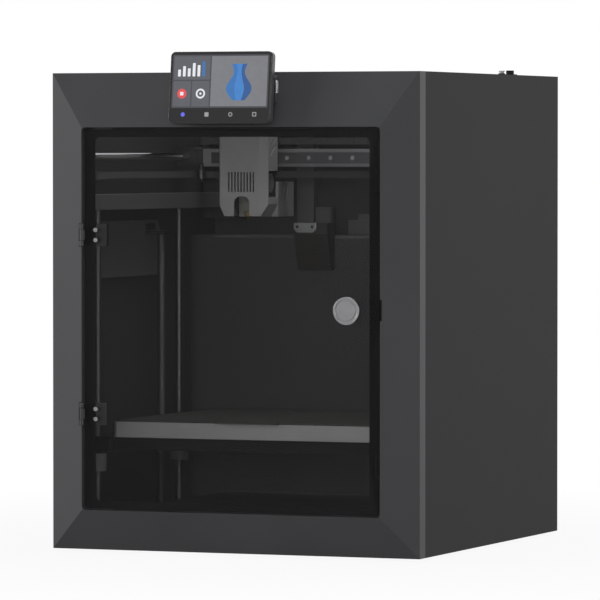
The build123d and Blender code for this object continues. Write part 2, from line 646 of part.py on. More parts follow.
def rod_holders():
    """Clamps at both ends of the Y rods, sockets under the Z rods and the lead screws' upper brackets."""
    holders = []
    for sx in (-1, 1):
        def side(a, b, *rest):
            return box(*sorted((sx * a, sx * b)), *rest)
        front = side(ROD_X - 8, WALL_IN, Y_CLAMP_FRONT - 4, Y_CLAMP_FRONT - 4 + Y_CLAMP_D, ROD_Z - 8,
                     ROD_Z + 8)
        back = side(ROD_X - 8, WALL_IN, Y_ROD_BACK - 5, Y_ROD_BACK + 3, ROD_Z - 8, ROD_Z + 8)
        bore = rod("y", Y_CLAMP_FRONT - 3, Y_ROD_BACK, sx * ROD_X, ROD_Z, ROD_R)
        holders += [front - bore, back - bore]
        for y in Z_ROD_YS:
            socket = rod("z", CHANNEL_TOP - FLOOR_T - SOCKET_H + 2, CHANNEL_TOP - FLOOR_T, sx * ROD_X,
                         y, SOCKET_R)
            holders.append(socket - rod("z", CHANNEL_TOP - SOCKET_H, DECK_Z0, sx * ROD_X, y, ROD_R))
        x1 = WALL_IN - COVER_BOX_T
        arm = side(ROD_X - 9, x1, SCREW_Y - 10, SCREW_Y + 10, SCREW_TOP - 2.5, SCREW_TOP - 2.5 + BRACKET_T)
        arm += side(x1 - 3, x1, SCREW_Y - 10, SCREW_Y + 10, SCREW_TOP - 2.5, SCREW_TOP + 9)
        holders.append(arm - rod("z", SCREW_TOP - 20, SCREW_TOP + 0.5, sx * ROD_X, SCREW_Y,
                                 JOURNAL_R + PIN_FIT))
    return holders


def pulley(x, y, z, bore, teeth):
    """A flanged belt wheel with its belt seat of height BELT_H starting at z."""
    low, high = z - 0.8, z + BELT_H + 0.8
    wheel = rod("z", low, high, x, y, PULLEY_R)
    wheel += rod("z", low, z - 0.1, x, y, FLANGE_R) + rod("z", high - 0.7, high, x, y, FLANGE_R)
    if teeth:
        for i in range(teeth):
            turn = 2 * math.pi * i / teeth
            wheel -= rod("z", z, high - 0.7, x + PULLEY_R * math.cos(turn),
                         y + PULLEY_R * math.sin(turn), 0.4)
    return wheel - rod("z", low - 1, high + 1, x, y, bore)


PITCH = PULLEY_R + BELT_T / 2           # pulley centre to the middle of the belt
RUN_Y = GANTRY_Y + BEAM_D               # middle of the belts along the cross beam
INNER_X = PULLEY_X - PITCH              # moving belt runs
OUTER_X = PULLEY_X + PITCH              # fixed belt runs
GANTRY_IDLER_X = INNER_X - PITCH


def frame_idlers():
    """Front idlers, then the two rear ones; left side low, right side high, and the other way behind."""
    fit = IDLER_PIN_R
    return [pulley(-PULLEY_X, FRONT_IDLER_Y, BELT_LOW_Z, fit, 0),
            pulley(PULLEY_X, FRONT_IDLER_Y, BELT_HIGH_Z, fit, 0),
            pulley(-GANTRY_IDLER_X, REAR_IDLER_Y, BELT_HIGH_Z, fit, 0),
            pulley(GANTRY_IDLER_X, REAR_IDLER_Y, BELT_LOW_Z, fit, 0)]


def idler_brackets():
    """Wall brackets with the pins of the fixed idlers, and the two motor plates."""
    t, y0, y1 = MOTOR_PLATE_T, FRONT_IDLER_Y - 9, FRONT_IDLER_Y + 9
    low, high = BELT_LOW_Z - 0.8, BELT_HIGH_Z - 0.8
    top = PULLEY_H
    left = box(-WALL_IN, -PULLEY_X + 8, y0, y1, low - t, low) + rod("z", low - 1, low + top, -PULLEY_X,
                                                                    FRONT_IDLER_Y, IDLER_PIN_R)
    right = box(PULLEY_X - 8, WALL_IN, y0, y1, high + top, high + top + t)
    right += rod("z", high, high + top + 1, PULLEY_X, FRONT_IDLER_Y, IDLER_PIN_R)
    half, y = MOTOR_W / 2, REAR_IDLER_Y
    lower = box(-WALL_IN, -PULLEY_X + half, y - half, BACK_IN - 2.5, low - t - 1, low - 1)
    lower -= rod("z", low - t - 2, low, -PULLEY_X, y, 5)
    lower += box(-PULLEY_X + half - 6, -PULLEY_X + half + 7, y + 7, BACK_IN - 2.5, low - t - 1,
                 high + top + 3)
    lower += box(-GANTRY_IDLER_X - 5, -PULLEY_X + half + 7, y - 5, BACK_IN - 2.5, high + top,
                 high + top + 3)
    lower += rod("z", high, high + top + 1, -GANTRY_IDLER_X, y, IDLER_PIN_R)
    upper = box(PULLEY_X - half, WALL_IN, y - half, BACK_IN - 2.5, high + top + 2, high + top + 2 + t)
    upper -= rod("z", high, high + top + 9, PULLEY_X, y, 5)
    upper += box(PULLEY_X - half - 7, PULLEY_X - half + 6, y + 7, BACK_IN - 2.5, low - t,
                 high + top + 2 + t)
    upper += box(PULLEY_X - half - 7, GANTRY_IDLER_X + 5, y - 5, BACK_IN - 2.5, low - t, low)
    upper += rod("z", low - 1, low + top, GANTRY_IDLER_X, y, IDLER_PIN_R)
    return [left, right, lower, upper]


def stepper_motors():
    """Left belt motor below its plate, right one above, and a flat motor under each lead screw."""
    half, y, top = MOTOR_W / 2, REAR_IDLER_Y, PULLEY_H
    plate_low = BELT_LOW_Z - 0.8 - MOTOR_PLATE_T - 1
    plate_high = BELT_HIGH_Z - 0.8 + top + 2 + MOTOR_PLATE_T
    motors = []
    for x, z0, z1, nose in ((-PULLEY_X, plate_low - MOTOR_H, plate_low, plate_low - MOTOR_H),
                            (PULLEY_X, plate_high, plate_high + MOTOR_H, plate_high)):
        body = chamfer(box(x - half, x + half, y - half, y + half, z0, z1).edges().filter_by(Axis.Z), 4)
        motors.append(body - rod("z", z0 - 1, z1 + 1, x, y, MOTOR_SHAFT_R + LEAD_FIT))
    z0, z1 = Z0 + BASE_T, CHANNEL_TOP - FLOOR_T
    for sx in (-1, 1):
        x = sx * ROD_X
        body = chamfer(box(x - half, x + half, SCREW_Y - half, SCREW_Y + half, z0,
                           z1).edges().filter_by(Axis.Z), 4)
        motors.append(body - rod("z", z0 + 4, z1 + 1, x, SCREW_Y, MOTOR_SHAFT_R + LEAD_FIT))
    return motors


def belt_pulley(side):
    """A toothed pulley with its motor's shaft."""
    x, y = side * PULLEY_X, REAR_IDLER_Y
    if side < 0:
        wheel = pulley(x, y, BELT_LOW_Z, 0.5, 16)
        return wheel + rod("z", BELT_LOW_Z - 4.8 - 14, BELT_LOW_Z + BELT_H + 4, x, y, MOTOR_SHAFT_R)
    wheel = pulley(x, y, BELT_HIGH_Z, 0.5, 16)
    return wheel + rod("z", BELT_HIGH_Z - 4, BELT_HIGH_Z + PULLEY_H + 22, x, y, MOTOR_SHAFT_R)


def belt_run(x, z, y0, y1):
    return box(x - BELT_T / 2, x + BELT_T / 2, y0, y1, z, z + BELT_H)


def wrap(x, y, z, start, turn):
    """The part of a belt that lies on a wheel, from the angle start through turn, in degrees."""
    face = make_face([
        CenterArc((0, 0), PULLEY_R, start, turn), CenterArc((0, 0), PULLEY_R + BELT_T, start, turn),
        Line(polar(PULLEY_R, start), polar(PULLEY_R + BELT_T, start)),
        Line(polar(PULLEY_R, start + turn), polar(PULLEY_R + BELT_T, start + turn))])
    return Pos(x, y, z) * extrude(face, BELT_H)


def polar(r, degrees):
    return (r * math.cos(math.radians(degrees)), r * math.sin(math.radians(degrees)))


def belts_fixed():
    """Each belt's outer run with its turns round the front idler and the motor pulley, and its rear run."""
    runs = []
    for sx, z, rear_z in ((-1, BELT_LOW_Z, BELT_LOW_Z), (1, BELT_HIGH_Z, BELT_HIGH_Z)):
        run = belt_run(sx * OUTER_X, z, FRONT_IDLER_Y, REAR_IDLER_Y)
        run += wrap(sx * PULLEY_X, FRONT_IDLER_Y, z, 180, 180)
        run += wrap(sx * PULLEY_X, REAR_IDLER_Y, rear_z, 90 if sx < 0 else 0, 90)
        y = REAR_IDLER_Y + PITCH
        run += box(-sx * GANTRY_IDLER_X, sx * PULLEY_X, y - BELT_T / 2, y + BELT_T / 2, z, z + BELT_H)
        run += wrap(-sx * GANTRY_IDLER_X, REAR_IDLER_Y, z, 0 if sx < 0 else 90, 90)
        runs.append(run)
    return runs


def belts_moving():
    """The runs between the fixed idlers and the cross beam, whose lengths change as it travels."""
    gap = 0.02
    front, back = RUN_Y - PITCH, RUN_Y + PITCH
    return [belt_run(-INNER_X, BELT_LOW_Z, FRONT_IDLER_Y + gap, front),
            belt_run(INNER_X, BELT_HIGH_Z, FRONT_IDLER_Y + gap, front),
            belt_run(-INNER_X, BELT_HIGH_Z, back, REAR_IDLER_Y - gap), belt_run(INNER_X, BELT_LOW_Z,
                                                                                back, REAR_IDLER_Y - gap)]


def belts_cross():
    """The runs along the beam with their quarter turns at the beam's idlers."""
    runs = []
    for z, left_y, right_y, left_a, right_a in (
            (BELT_LOW_Z, RUN_Y - PITCH, RUN_Y + PITCH, 90, 270), (BELT_HIGH_Z, RUN_Y + PITCH,
                                                                  RUN_Y - PITCH, 180, 0)):
        run = box(-GANTRY_IDLER_X, GANTRY_IDLER_X, RUN_Y - BELT_T / 2, RUN_Y + BELT_T / 2, z, z + BELT_H)
        run += wrap(-GANTRY_IDLER_X, left_y, z, left_a, 90) + wrap(GANTRY_IDLER_X, right_y, z, right_a, 90)
        runs.append(run)
    return runs


def gantry_idlers():
    fit = IDLER_PIN_R
    return [pulley(-GANTRY_IDLER_X, RUN_Y - PITCH, BELT_LOW_Z, fit, 0),
            pulley(GANTRY_IDLER_X, RUN_Y + PITCH, BELT_LOW_Z, fit, 0),
            pulley(-GANTRY_IDLER_X, RUN_Y + PITCH, BELT_HIGH_Z, fit, 0),
            pulley(GANTRY_IDLER_X, RUN_Y - PITCH, BELT_HIGH_Z, fit, 0)]


def y_carriages():
    """Blocks that slide on the Y rods and carry the beam's ends and idlers."""
    blocks = []
    for sx in (-1, 1):
        low_y, high_y = (RUN_Y - PITCH, RUN_Y + PITCH) if sx < 0 else (RUN_Y + PITCH, RUN_Y - PITCH)
        z0, z1 = ROD_Z - CAR_H / 2, ROD_Z + CAR_H / 2
        block = box(*sorted((sx * CAR_X0, sx * CAR_X1)), GANTRY_Y, GANTRY_Y + CAR_D, z0, z1)
        block = chamfer(block.edges().filter_by(Axis.Y), 2)
        block -= rod("y", GANTRY_Y - 1, GANTRY_Y + CAR_D + 1, sx * ROD_X, ROD_Z, ROD_R + ROD_FIT)
        pin_x = sx * GANTRY_IDLER_X
        block += rod("z", BELT_LOW_Z - 1.4, z0 + 1, pin_x, low_y, IDLER_PIN_R)
        block += rod("z", BELT_LOW_Z + BELT_H + 0.8, z0 + 1, pin_x, low_y, IDLER_PIN_R + 1)
        block += rod("z", z1 - 1, BELT_HIGH_Z + BELT_H + 1.4, pin_x, high_y, IDLER_PIN_R)
        block += rod("z", z1 - 1, BELT_HIGH_Z - 0.8, pin_x, high_y, IDLER_PIN_R + 1)
        blocks.append(block)
    return blocks


def cross_beam():
    y0 = GANTRY_Y + CAR_D - BEAM_D
    z0, z1 = RAIL_Z - BEAM_H / 2, RAIL_Z + BEAM_H / 2
    beam = box(-CAR_X0, CAR_X0, y0, y0 + BEAM_D, z0, z1)
    inside = box(-CAR_X0 - 1, CAR_X0 + 1, y0 + BEAM_WALL, y0 + BEAM_D - BEAM_WALL, z0 + BEAM_WALL,
                 z1 - BEAM_WALL)
    boss_room = rod("z", z0 - 1, ROD_Z - CAR_H / 2 + 1.5, GANTRY_IDLER_X, RUN_Y + PITCH,
                    IDLER_PIN_R + 1 + ROD_FIT)
    return beam - inside - boss_room


def rail_screw_xs():
    n = int(RAIL_LEN // RAIL_PITCH)
    first = -(n - 1) * RAIL_PITCH / 2
    return [first + i * RAIL_PITCH for i in range(n)]


def x_rail():
    y1 = GANTRY_Y + CAR_D - BEAM_D
    y0 = y1 - RAIL_T
    half = RAIL_LEN / 2
    rail = box(-half, half, y0, y1, RAIL_Z - RAIL_W / 2, RAIL_Z + RAIL_W / 2)
    for z in (RAIL_Z - RAIL_W / 2, RAIL_Z + RAIL_W / 2):
        rail -= Pos(0, y0 + 3.6, z) * Rot(45, 0, 0) * Box(2 * half + 2, 2.0, 2.0)
    for x in rail_screw_xs():
        rail -= rod("y", y0 - 1, y0 + 3.4, x, RAIL_Z, RAIL_SCREW_R + 0.3) + rod("y", y0, y1 + 1, x,
                                                                                RAIL_Z, 1.5)
    return rail


def rail_screws():
    y1 = GANTRY_Y + CAR_D - BEAM_D
    y0 = y1 - RAIL_T
    screws = []
    for x in rail_screw_xs():
        screw = rod("y", y0 + 0.6, y0 + 3.4, x, RAIL_Z, RAIL_SCREW_R) + rod("y", y0 + 3.4, y1, x,
                                                                            RAIL_Z, 1.5)
        screws.append(screw - rod("y", y0 - 1, y0 + 1.8, x, RAIL_Z, 1.0))
    return screws


def x_carriage():
    """Rail block, mounting plate and the two clamps that the belts pass through."""
    y1 = GANTRY_Y + CAR_D - BEAM_D - 2
    y0 = y1 - BLOCK_T
    x = NOZZLE_X
    block = box(x - BLOCK_LEN / 2, x + BLOCK_LEN / 2, y0, y1, RAIL_Z - BLOCK_W / 2, RAIL_Z + BLOCK_W / 2)
    block -= box(x - BLOCK_LEN, x + BLOCK_LEN, y1 - RAIL_T + 2 - BLOCK_FIT, y1 + 1,
                 RAIL_Z - RAIL_W / 2 - BLOCK_FIT,
                 RAIL_Z + RAIL_W / 2 + BLOCK_FIT)
    low, high = BELT_LOW_Z - 1.4, BELT_HIGH_Z + BELT_H + 3.5
    block += box(PLATE_X0, PLATE_X1, y0 - PLATE_T, y0, low, high)
    reach = RUN_Y + BELT_T / 2 + 4
    for x0, z0, z1 in ((x - 15, low, BELT_LOW_Z + BELT_H + 0.7), (x + 1, BELT_HIGH_Z - 0.7, high)):
        clamp = box(x0, x0 + 10, y0 - 1, reach, z0, z1)
        belt_z = BELT_LOW_Z if z0 == low else BELT_HIGH_Z
        clamp -= box(x0 - 1, x0 + 11, RUN_Y - BELT_T / 2 - 0.35, RUN_Y + BELT_T / 2 + 0.35,
                     belt_z - 0.35, belt_z + BELT_H + 0.35)
        block += clamp
    return block


def toolhead_cover():
    """A shell open at the back, with a chamfered right front edge and a tapered foot."""
    def outline(t):
        x0, x1, y0, y1 = COVER_X0 + t, COVER_X1 - t, COVER_Y0 + t, COVER_Y1
        cx, cy = COVER_CHAMFER_X, COVER_CHAMFER_Y
        return make_face(Polyline((x0, y1 + (1 if t else 0)), (x0, y0 + 1.5), (x0 + 1.5, y0),
                                  (x1 - cx, y0), (x1, y0 + cy),
                                  (x1, y1 + (1 if t else 0)), close=True))

    def foot(t):
        x0, x1, z0, z1 = COVER_X0 + t, COVER_X1 - t, COVER_Z0, COVER_Z1 - t
        profile = Polyline((x0, z1), (x0, z0 + COVER_FOOT_Z), (x0 + COVER_FOOT_X, z0 - (1 if t else 0)),
                           (x1 - COVER_FOOT_X, z0 - (1 if t else 0)), (x1, z0 + COVER_FOOT_Z),
                           (x1, z1), close=True)
        return extrude(Plane.XZ.offset(-COVER_Y1 - 2) * make_face(profile), COVER_Y1 - COVER_Y0 + 4)

    height = COVER_Z1 - COVER_Z0
    outer = (Pos(0, 0, COVER_Z0) * extrude(outline(0), height)) & foot(0)
    inner = (Pos(0, 0, COVER_Z0 - 1) * extrude(outline(COVER_T), height + 1 - COVER_T)) & foot(COVER_T)
    cover = outer - inner
    arch = slab_y(NOZZLE_X - ARCH_W / 2, NOZZLE_X + ARCH_W / 2, COVER_Z0 - 12, COVER_Z0 + ARCH_H,
                  COVER_Y0 - 1, COVER_Y0 + 9,
                  ARCH_W / 2 - 2)
    cover -= arch
    first = NOZZLE_X - 0.7 - (SLOT_N - 1) * SLOT_PITCH / 2
    for i in range(SLOT_N):
        x = first + i * SLOT_PITCH
        cover -= box(x - SLOT_W / 2, x + SLOT_W / 2, COVER_Y0 - 1, COVER_Y0 + COVER_T + 0.5, SLOT_Z0,
                     SLOT_Z1)
    cover -= box(COVER_X1 - COVER_T - 0.5, COVER_X1 + 1, COVER_Y0 + COVER_CHAMFER_Y + 0.6, COVER_Y1 + 1,
                 WINDOW_Z0, WINDOW_Z1)
    for i in range(3):
        slit = Pos(COVER_X1, COVER_Y0 + 20, 413 + i * 8) * Rot(38, 0, 0) * Box(3 * COVER_T, 19, 1.8)
        cover -= slit
    return cover - rod("z", COVER_Z1 - 2 * COVER_T, COVER_Z1 + 1, NOZZLE_X, NOZZLE_Y, FITTING_R + ROD_FIT)


def rear_shroud():
    """The lower rear housing of the toolhead, behind the cover and below the belts."""
    x0, x1, y0, y1, z1 = SHROUD_X0, COVER_X1, COVER_Y1, SHROUD_Y1, SHROUD_Z1
    w = SHROUD_WALL
    shroud = chamfer(box(x0, x1, y0, y1, COVER_Z0 - 0.8, z1).edges().filter_by(Axis.Z), 1.5)
    shroud -= box(x0 + w, x1 - w, y0 + w, y1 - w, COVER_Z0 - 2, z1 - w)
    for i in range(2):
        shroud -= Pos(x1, y0 + 18 + i * 9, 367) * Rot(-20, 0, 0) * Box(3 * w, 2.2, 14)
    shroud -= box(x1 - 1, x1 + 1, y0 + 26, y0 + 27.2, COVER_Z0 - 2, COVER_Z0 + 11)
    return shroud + rod("x", x1 - 1, x1 + 0.5, y0 + 27, COVER_Z0 + 9.5, 2.2)


def hot_end():
    """Heatsink with fins, and the heater block below it on its thin heat break."""
    x, y = NOZZLE_X, NOZZLE_Y
    back = GANTRY_Y + 1
    sink = rod("z", FAN_Z - FAN_W / 2, EXTRUDER_Z0, x, y, 4.5)
    for i in range(9):
        z = FAN_Z - FAN_W / 2 + 0.5 + i * 3.4
        sink += box(x - 11, x + 11, FAN_T + COVER_Y0 + COVER_T + 1.5, back, z, z + 1.4)
    sink += rod("z", FAN_Z - FAN_W / 2 - 6, FAN_Z - FAN_W / 2 + 1, x, y, 2.0)
    sink -= rod("z", FAN_Z - FAN_W / 2 - 10, EXTRUDER_Z0 + 1, x, y, 1.0)
    top = FAN_Z - FAN_W / 2 - 6
    heater = box(x - 8, x + 8, y - 7, y + 5, top - 11, top) - rod("z", top - 12, top + 1, x, y, 1.0)
    return [sink, heater]


def nozzle():
    x, y, top = NOZZLE_X, NOZZLE_Y, FAN_Z - FAN_W / 2 - 17
    tip = Pos(x, y, NOZZLE_TIP + 1.5) * Cone(0.6, 3.0, 3.0)
    hexagon = Pos(x, y, NOZZLE_TIP + 3.0) * extrude(RegularPolygon(4.0, 6), top - NOZZLE_TIP - 3.0)
    return tip + hexagon - rod("z", NOZZLE_TIP - 1, top + 1, x, y, 0.3)


def fan_blades(r0, r1, t, n, lean):
    """Blades round the Z axis, with their roots sunk into a hub of radius r0."""
    blade = Pos((r0 - 0.5 + r1) / 2, 0, 0) * Rot(lean, 0, 0) * Box(r1 - r0 + 0.5, 1.0, t)
    blades = Rot(0, 0, 0) * blade
    for i in range(1, n):
        blades += Rot(0, 0, 360 * i / n) * blade
    return blades


def blower_box():
    """Outer box of the side blower: x0, x1, y0, y1, z0, z1."""
    x1 = COVER_X1 - COVER_T
    return x1 - BLOWER_T, x1, BLOWER_Y0, COVER_Y1 - 0.5, BLOWER_Z0, BLOWER_Z1


def blower():
    x0, x1, y0, y1, z0, z1 = blower_box()
    housing = box(x0, x1, y0, y1, z0, z1)
    housing -= rod("x", x0 + 1.2, x1 + 1, BLOWER_AXIS_Y, BLOWER_AXIS_Z, IMPELLER_R + ROTOR_GAP)
    housing += rod("x", x0 + 0.2, x1 - 2, BLOWER_AXIS_Y, BLOWER_AXIS_Z, IDLER_PIN_R)
    duct_x1 = x1 - BLOWER_DUCT_INSET
    duct = box(x0, duct_x1, y0, y0 + 14, COVER_Z0 + 4, z0)
    duct -= box(x0 + 1, duct_x1 - 1, y0 + 1, y0 + 13, COVER_Z0 + 3, z0 + 4)
    return housing + duct


def blower_impeller():
    x0, x1 = blower_box()[:2]
    length = x1 - x0 - 3.2
    drum = Cylinder(IMPELLER_R, length) - Cylinder(IMPELLER_R - 3.2, length + 2)
    for i in range(24):
        blade_gap = Rot(0, 0, 30) * Box(2.2, 1.0, length - 1)
        drum -= Rot(0, 0, 15 * i) * Pos(IMPELLER_R - 1.4, 0, 1.2) * blade_gap
    drum += Pos(0, 0, -length / 2 + 0.5) * Cylinder(IMPELLER_R - 1, 1.0) + Cylinder(5.5, length)
    drum -= Cylinder(IDLER_PIN_R + PIN_FIT, length + 2)
    middle = x0 + 1.2 + 0.8 + length / 2
    return Pos(middle, BLOWER_AXIS_Y, BLOWER_AXIS_Z) * Rot(0, 90, 0) * drum


def axial_frame(w, t, hub_r, back_spokes):
    """A square fan frame round the Z axis with a motor hub on four spokes at its back."""
    r = w / 2 - 1.2
    frame = Box(w, w, t) - Cylinder(r, t + 2)
    hub = Pos(0, 0, t / 2 - 1) * Cylinder(hub_r, 2) + Pos(0, 0, 0.5) * Cylinder(IDLER_PIN_R, t - 3)
    for turn in (45, 135):
        hub += Pos(0, 0, t / 2 - 1) * Rot(0, 0, turn) * Box(2 * r + 1, back_spokes, 2)
    frame += hub
    for sx in (-1, 1):
        for sy in (-1, 1):
            frame -= Pos(sx * (w / 2 - w * 0.11), sy * (w / 2 - w * 0.11), 0) * Cylinder(w * 0.05, t + 2)
    return frame


def axial_rotor(w, t, hub_r, n):
    r = w / 2 - 1.2 - ROTOR_GAP
    rotor = Pos(0, 0, -1.3) * (Cylinder(hub_r, t - 3.4) + fan_blades(hub_r, r, t - 4.4, n, 38))
    return rotor - Cylinder(IDLER_PIN_R + PIN_FIT, t + 2)


def hotend_fan_place(shape):
    return Pos(NOZZLE_X, COVER_Y0 + COVER_T + FAN_T / 2 + 0.2, FAN_Z) * Rot(-90, 0, 0) * shape


def exhaust_fan_place(shape):
    return Pos(FAN80_X, BACK_IN - FAN80_T / 2, FAN80_Z) * Rot(90, 0, 0) * shape


def extruder():
    """Housing of the filament drive, above the heatsink, with the tube fitting on top."""
    y0 = COVER_Y0 + COVER_T + EXT_MOTOR_T + 0.4
    y1 = GANTRY_Y + 1
    body = box(NOZZLE_X - 18, NOZZLE_X + 17, y0, y1, EXTRUDER_Z0, EXTRUDER_Z1)
    body += rod("z", EXTRUDER_Z1, COVER_Z1 + 9, NOZZLE_X, NOZZLE_Y, FITTING_R)
    return body - rod("z", EXTRUDER_Z0 - 1, COVER_Z1 + 20, NOZZLE_X, NOZZLE_Y, 1.2)


def extruder_motor():
    y0 = COVER_Y0 + COVER_T + 0.4
    return rod("y", y0, y0 + EXT_MOTOR_T, NOZZLE_X + EXT_MOTOR_DX, EXT_MOTOR_Z, EXT_MOTOR_R)


def bed_plate():
    """Cast heated plate with a deep rim."""
    x, y0, y1, w = BED_X, BED_Y0, BED_Y1, BED_WALL
    top = BED_TOP - SHEET_T
    outer = box(-x, x, y0, y1, top - BED_SKIRT, top)
    corners = outer.edges().filter_by(Axis.Z)
    outer = chamfer(corners, 4)
    return outer - box(-x + w, x - w, y0 + w, y1 - w, top - BED_SKIRT - 1, top - BED_PLATE_T)


def build_plate():
    i = SHEET_IN
    sheet = box(-BED_X + i, BED_X - i, BED_Y0 + i, BED_Y1 - i, BED_TOP - SHEET_T, BED_TOP)
    sheet = chamfer(sheet.edges().filter_by(Axis.Z), 4)
    return sheet + box(-34, 34, BED_Y0 - 5, BED_Y0 + i + 1, BED_TOP - SHEET_T, BED_TOP)


def bed_frame():
    """Two side arms with bearing bosses, joined under the plate by two cross members."""
    top = BED_TOP - SHEET_T - BED_SKIRT
    frame = None
    for y in (ARM_Y0 + 6, ARM_Y1 - 30):
        bar = box(-ARM_X + 14, ARM_X - 14, y, y + 24, ARM_Z0, top)
        bar -= box(-BED_X + 24, BED_X - 24, y + 2, y + 22, ARM_Z0 - 1, top - 2)
        frame = bar if frame is None else frame + bar
    for sx in (-1, 1):
        x0, x1 = sorted((sx * (BED_X + 4), sx * ARM_X))
        frame += chamfer(box(x0, x1, ARM_Y0, ARM_Y1, ARM_Z0, top).edges().filter_by(Axis.Z), 3)
        x0, x1 = sorted((sx * (BED_X - 26), sx * (BED_X - 6)))
        frame += box(x0, x1, ARM_Y0 + 6, ARM_Y1 - 6, ARM_Z0, top)
        for y in Z_ROD_YS:
            frame += rod("z", ARM_Z0 - BEARING_LEN + 1, ARM_Z0, sx * ROD_X, y, BOSS_R)
        frame += rod("z", ARM_Z0 - 4, ARM_Z0, sx * ROD_X, SCREW_Y, NUT_FLANGE_R + 1)
    for sx in (-1, 1):
        for y in Z_ROD_YS:
            frame -= rod("z", ARM_Z0 - BEARING_LEN, ARM_Z0 + 1, sx * ROD_X, y, BEARING_R)
            frame -= rod("z", ARM_Z0, top + 1, sx * ROD_X, y, ROD_R + 0.6)
        frame -= rod("z", ARM_Z0 - 5, top + 1, sx * ROD_X, SCREW_Y, NUT_R)
    return frame


def bed_bearings():
    rings = []
    for sx in (-1, 1):
        for y in Z_ROD_YS:
            ring = rod("z", ARM_Z0 - BEARING_LEN + 1, ARM_Z0 + 1, sx * ROD_X, y, BEARING_R)
            rings.append(ring - rod("z", 0, 200, sx * ROD_X, y, ROD_R + ROD_FIT))
    return rings


def screw_nuts():
    nuts = []
    for sx in (-1, 1):
        nut = rod("z", ARM_Z0 - 4 - NUT_FLANGE_T, ARM_Z0 - 4, sx * ROD_X, SCREW_Y, NUT_FLANGE_R)
        nut += rod("z", ARM_Z0 - 14, ARM_Z0 + 8, sx * ROD_X, SCREW_Y, NUT_R)
        for turn in range(4):
            angle = math.pi / 4 + turn * math.pi / 2
            x, y = sx * ROD_X + 8 * math.cos(angle), SCREW_Y + 8 * math.sin(angle)
            nut -= rod("z", ARM_Z0 - 20, ARM_Z0 - 4.5, x, y, 1.4)
        nuts.append(nut - rod("z", 0, 200, sx * ROD_X, SCREW_Y, LEAD_R + LEAD_FIT))
    return nuts


def lead_screw(side):
    x = side * ROD_X
    motor_top = CHANNEL_TOP - FLOOR_T
    screw = rod("z", motor_top + 1, SCREW_TOP - 4.5, x, SCREW_Y, LEAD_R)
    screw += rod("z", motor_top - 10, motor_top + 1, x, SCREW_Y, MOTOR_SHAFT_R)
    return screw + rod("z", SCREW_TOP - 4.5, SCREW_TOP, x, SCREW_Y, JOURNAL_R)


def inner_covers():
    """A cover box on each side wall, the duct on the upper rear wall and the two boxes on the ledge."""
    y0, y1, z0, z1 = COVER_BOX
    right = slab_x(y0, y1, z0, z1, WALL_IN - COVER_BOX_T, WALL_IN, COVER_BOX_R)
    duct = box(-93.0, -73.5, DUCT_Y, BACK_IN - 2.5, LEDGE_Z, Z1 - TOP_T)
    small = chamfer(box(-70.5, -52.0, LEDGE_BOX_Y, LEDGE_BOX_Y + LEDGE_BOX_D, LEDGE_Z,
                        351.0).edges().filter_by(Axis.Z), 1.5)
    long_box = box(-32.0, 40.0, LEDGE_BOX_Y + 1, LEDGE_BOX_Y + 1 + LEDGE_BOX_D, LEDGE_Z, 337.0)
    long_box += box(-21.0, 40.0, LEDGE_BOX_Y + 3, LEDGE_BOX_Y + 1 + LEDGE_BOX_D, 337.0, 343.5)
    return [mirrored(right), right, duct, small, long_box]


def waste_chute():
    """A scoop on the rear wall, open above and below, whose front leans back to the wall."""
    y1, t = REAR_Y, CHUTE_WALL
    outline = Polyline((y1, CHUTE_TOP), (y1 - CHUTE_D, CHUTE_TOP), (y1 - CHUTE_D, CHUTE_TOP - 12),
                       (y1 - CHUTE_D_LOW, CHUTE_BOTTOM),
                       (y1, CHUTE_BOTTOM), close=True)
    hollow = Polyline((y1 - t, CHUTE_TOP + 1), (y1 - CHUTE_D + t, CHUTE_TOP + 1),
                      (y1 - CHUTE_D + t, CHUTE_TOP - 12.5),
                      (y1 - CHUTE_D_LOW + t, CHUTE_BOTTOM - 1), (y1 - t, CHUTE_BOTTOM - 1), close=True)
    solid = extrude(Plane.YZ.offset(CHUTE_X0) * make_face(outline), CHUTE_X1 - CHUTE_X0)
    return solid - extrude(Plane.YZ.offset(CHUTE_X0 + t) * make_face(hollow), CHUTE_X1 - CHUTE_X0 - 2 * t)


def chute_bracket():
    """The screwed plate on the chute's rim, with its two screw heads."""
    y1 = REAR_Y - CHUTE_D
    x0, x1 = CHUTE_X0 + 0.6, CHUTE_X0 + 26.8
    z0, z1 = CHUTE_TOP - 10.5, CHUTE_TOP
    face = make_face(Polyline((x0, z1), (x0, z0 + 4), (x0 + 4, z0), (x1 - 4, z0), (x1, z0 + 4),
                              (x1, z1), close=True))
    plate = extrude(Plane.XZ.offset(-y1) * face, 1.6)
    screws = [rod("y", y1 - 2.6, y1 - 1.6, x, z1 - 4.2, 1.5) for x in (x0 + 4.5, x1 - 4.5)]
    return [plate] + screws


def electronics():
    """Power supply on the back panel and the controller board on its spacers beside the rear wall."""
    x0, x1, z0, z1 = PSU_BOX
    supply = box(x0, x1, BACK_IN - PSU_T, BACK_IN, z0, z1)
    for i in range(16):
        x = x0 + 20 + i * 11
        supply -= box(x, x + 4, BACK_IN - PSU_T - 1, BACK_IN - PSU_T + 1, z0 + 20, z1 - 20)
    x0, x1, z0, z1 = BOARD_BOX
    y = REAR_Y + REAR_T + 6
    board = box(x0, x1, y, y + 1.6, z0, z1)
    for dx, dz, w, h, t in ((20, 60, 14, 12, 9), (44, 60, 14, 12, 9), (68, 60, 14, 12, 9),
                            (92, 60, 14, 12, 9), (60, 20, 24, 24, 3),
                            (8, 8, 30, 12, 11), (110, 8, 30, 12, 11)):
        board += box(x0 + dx, x0 + dx + w, y + 1.6, y + 1.6 + t, z0 + dz, z0 + dz + h)
    for x in (x0 + 5, x1 - 5):
        for z in (z0 + 5, z1 - 5):
            board += rod("y", REAR_Y + REAR_T, y, x, z, 3)
    return [supply, board]


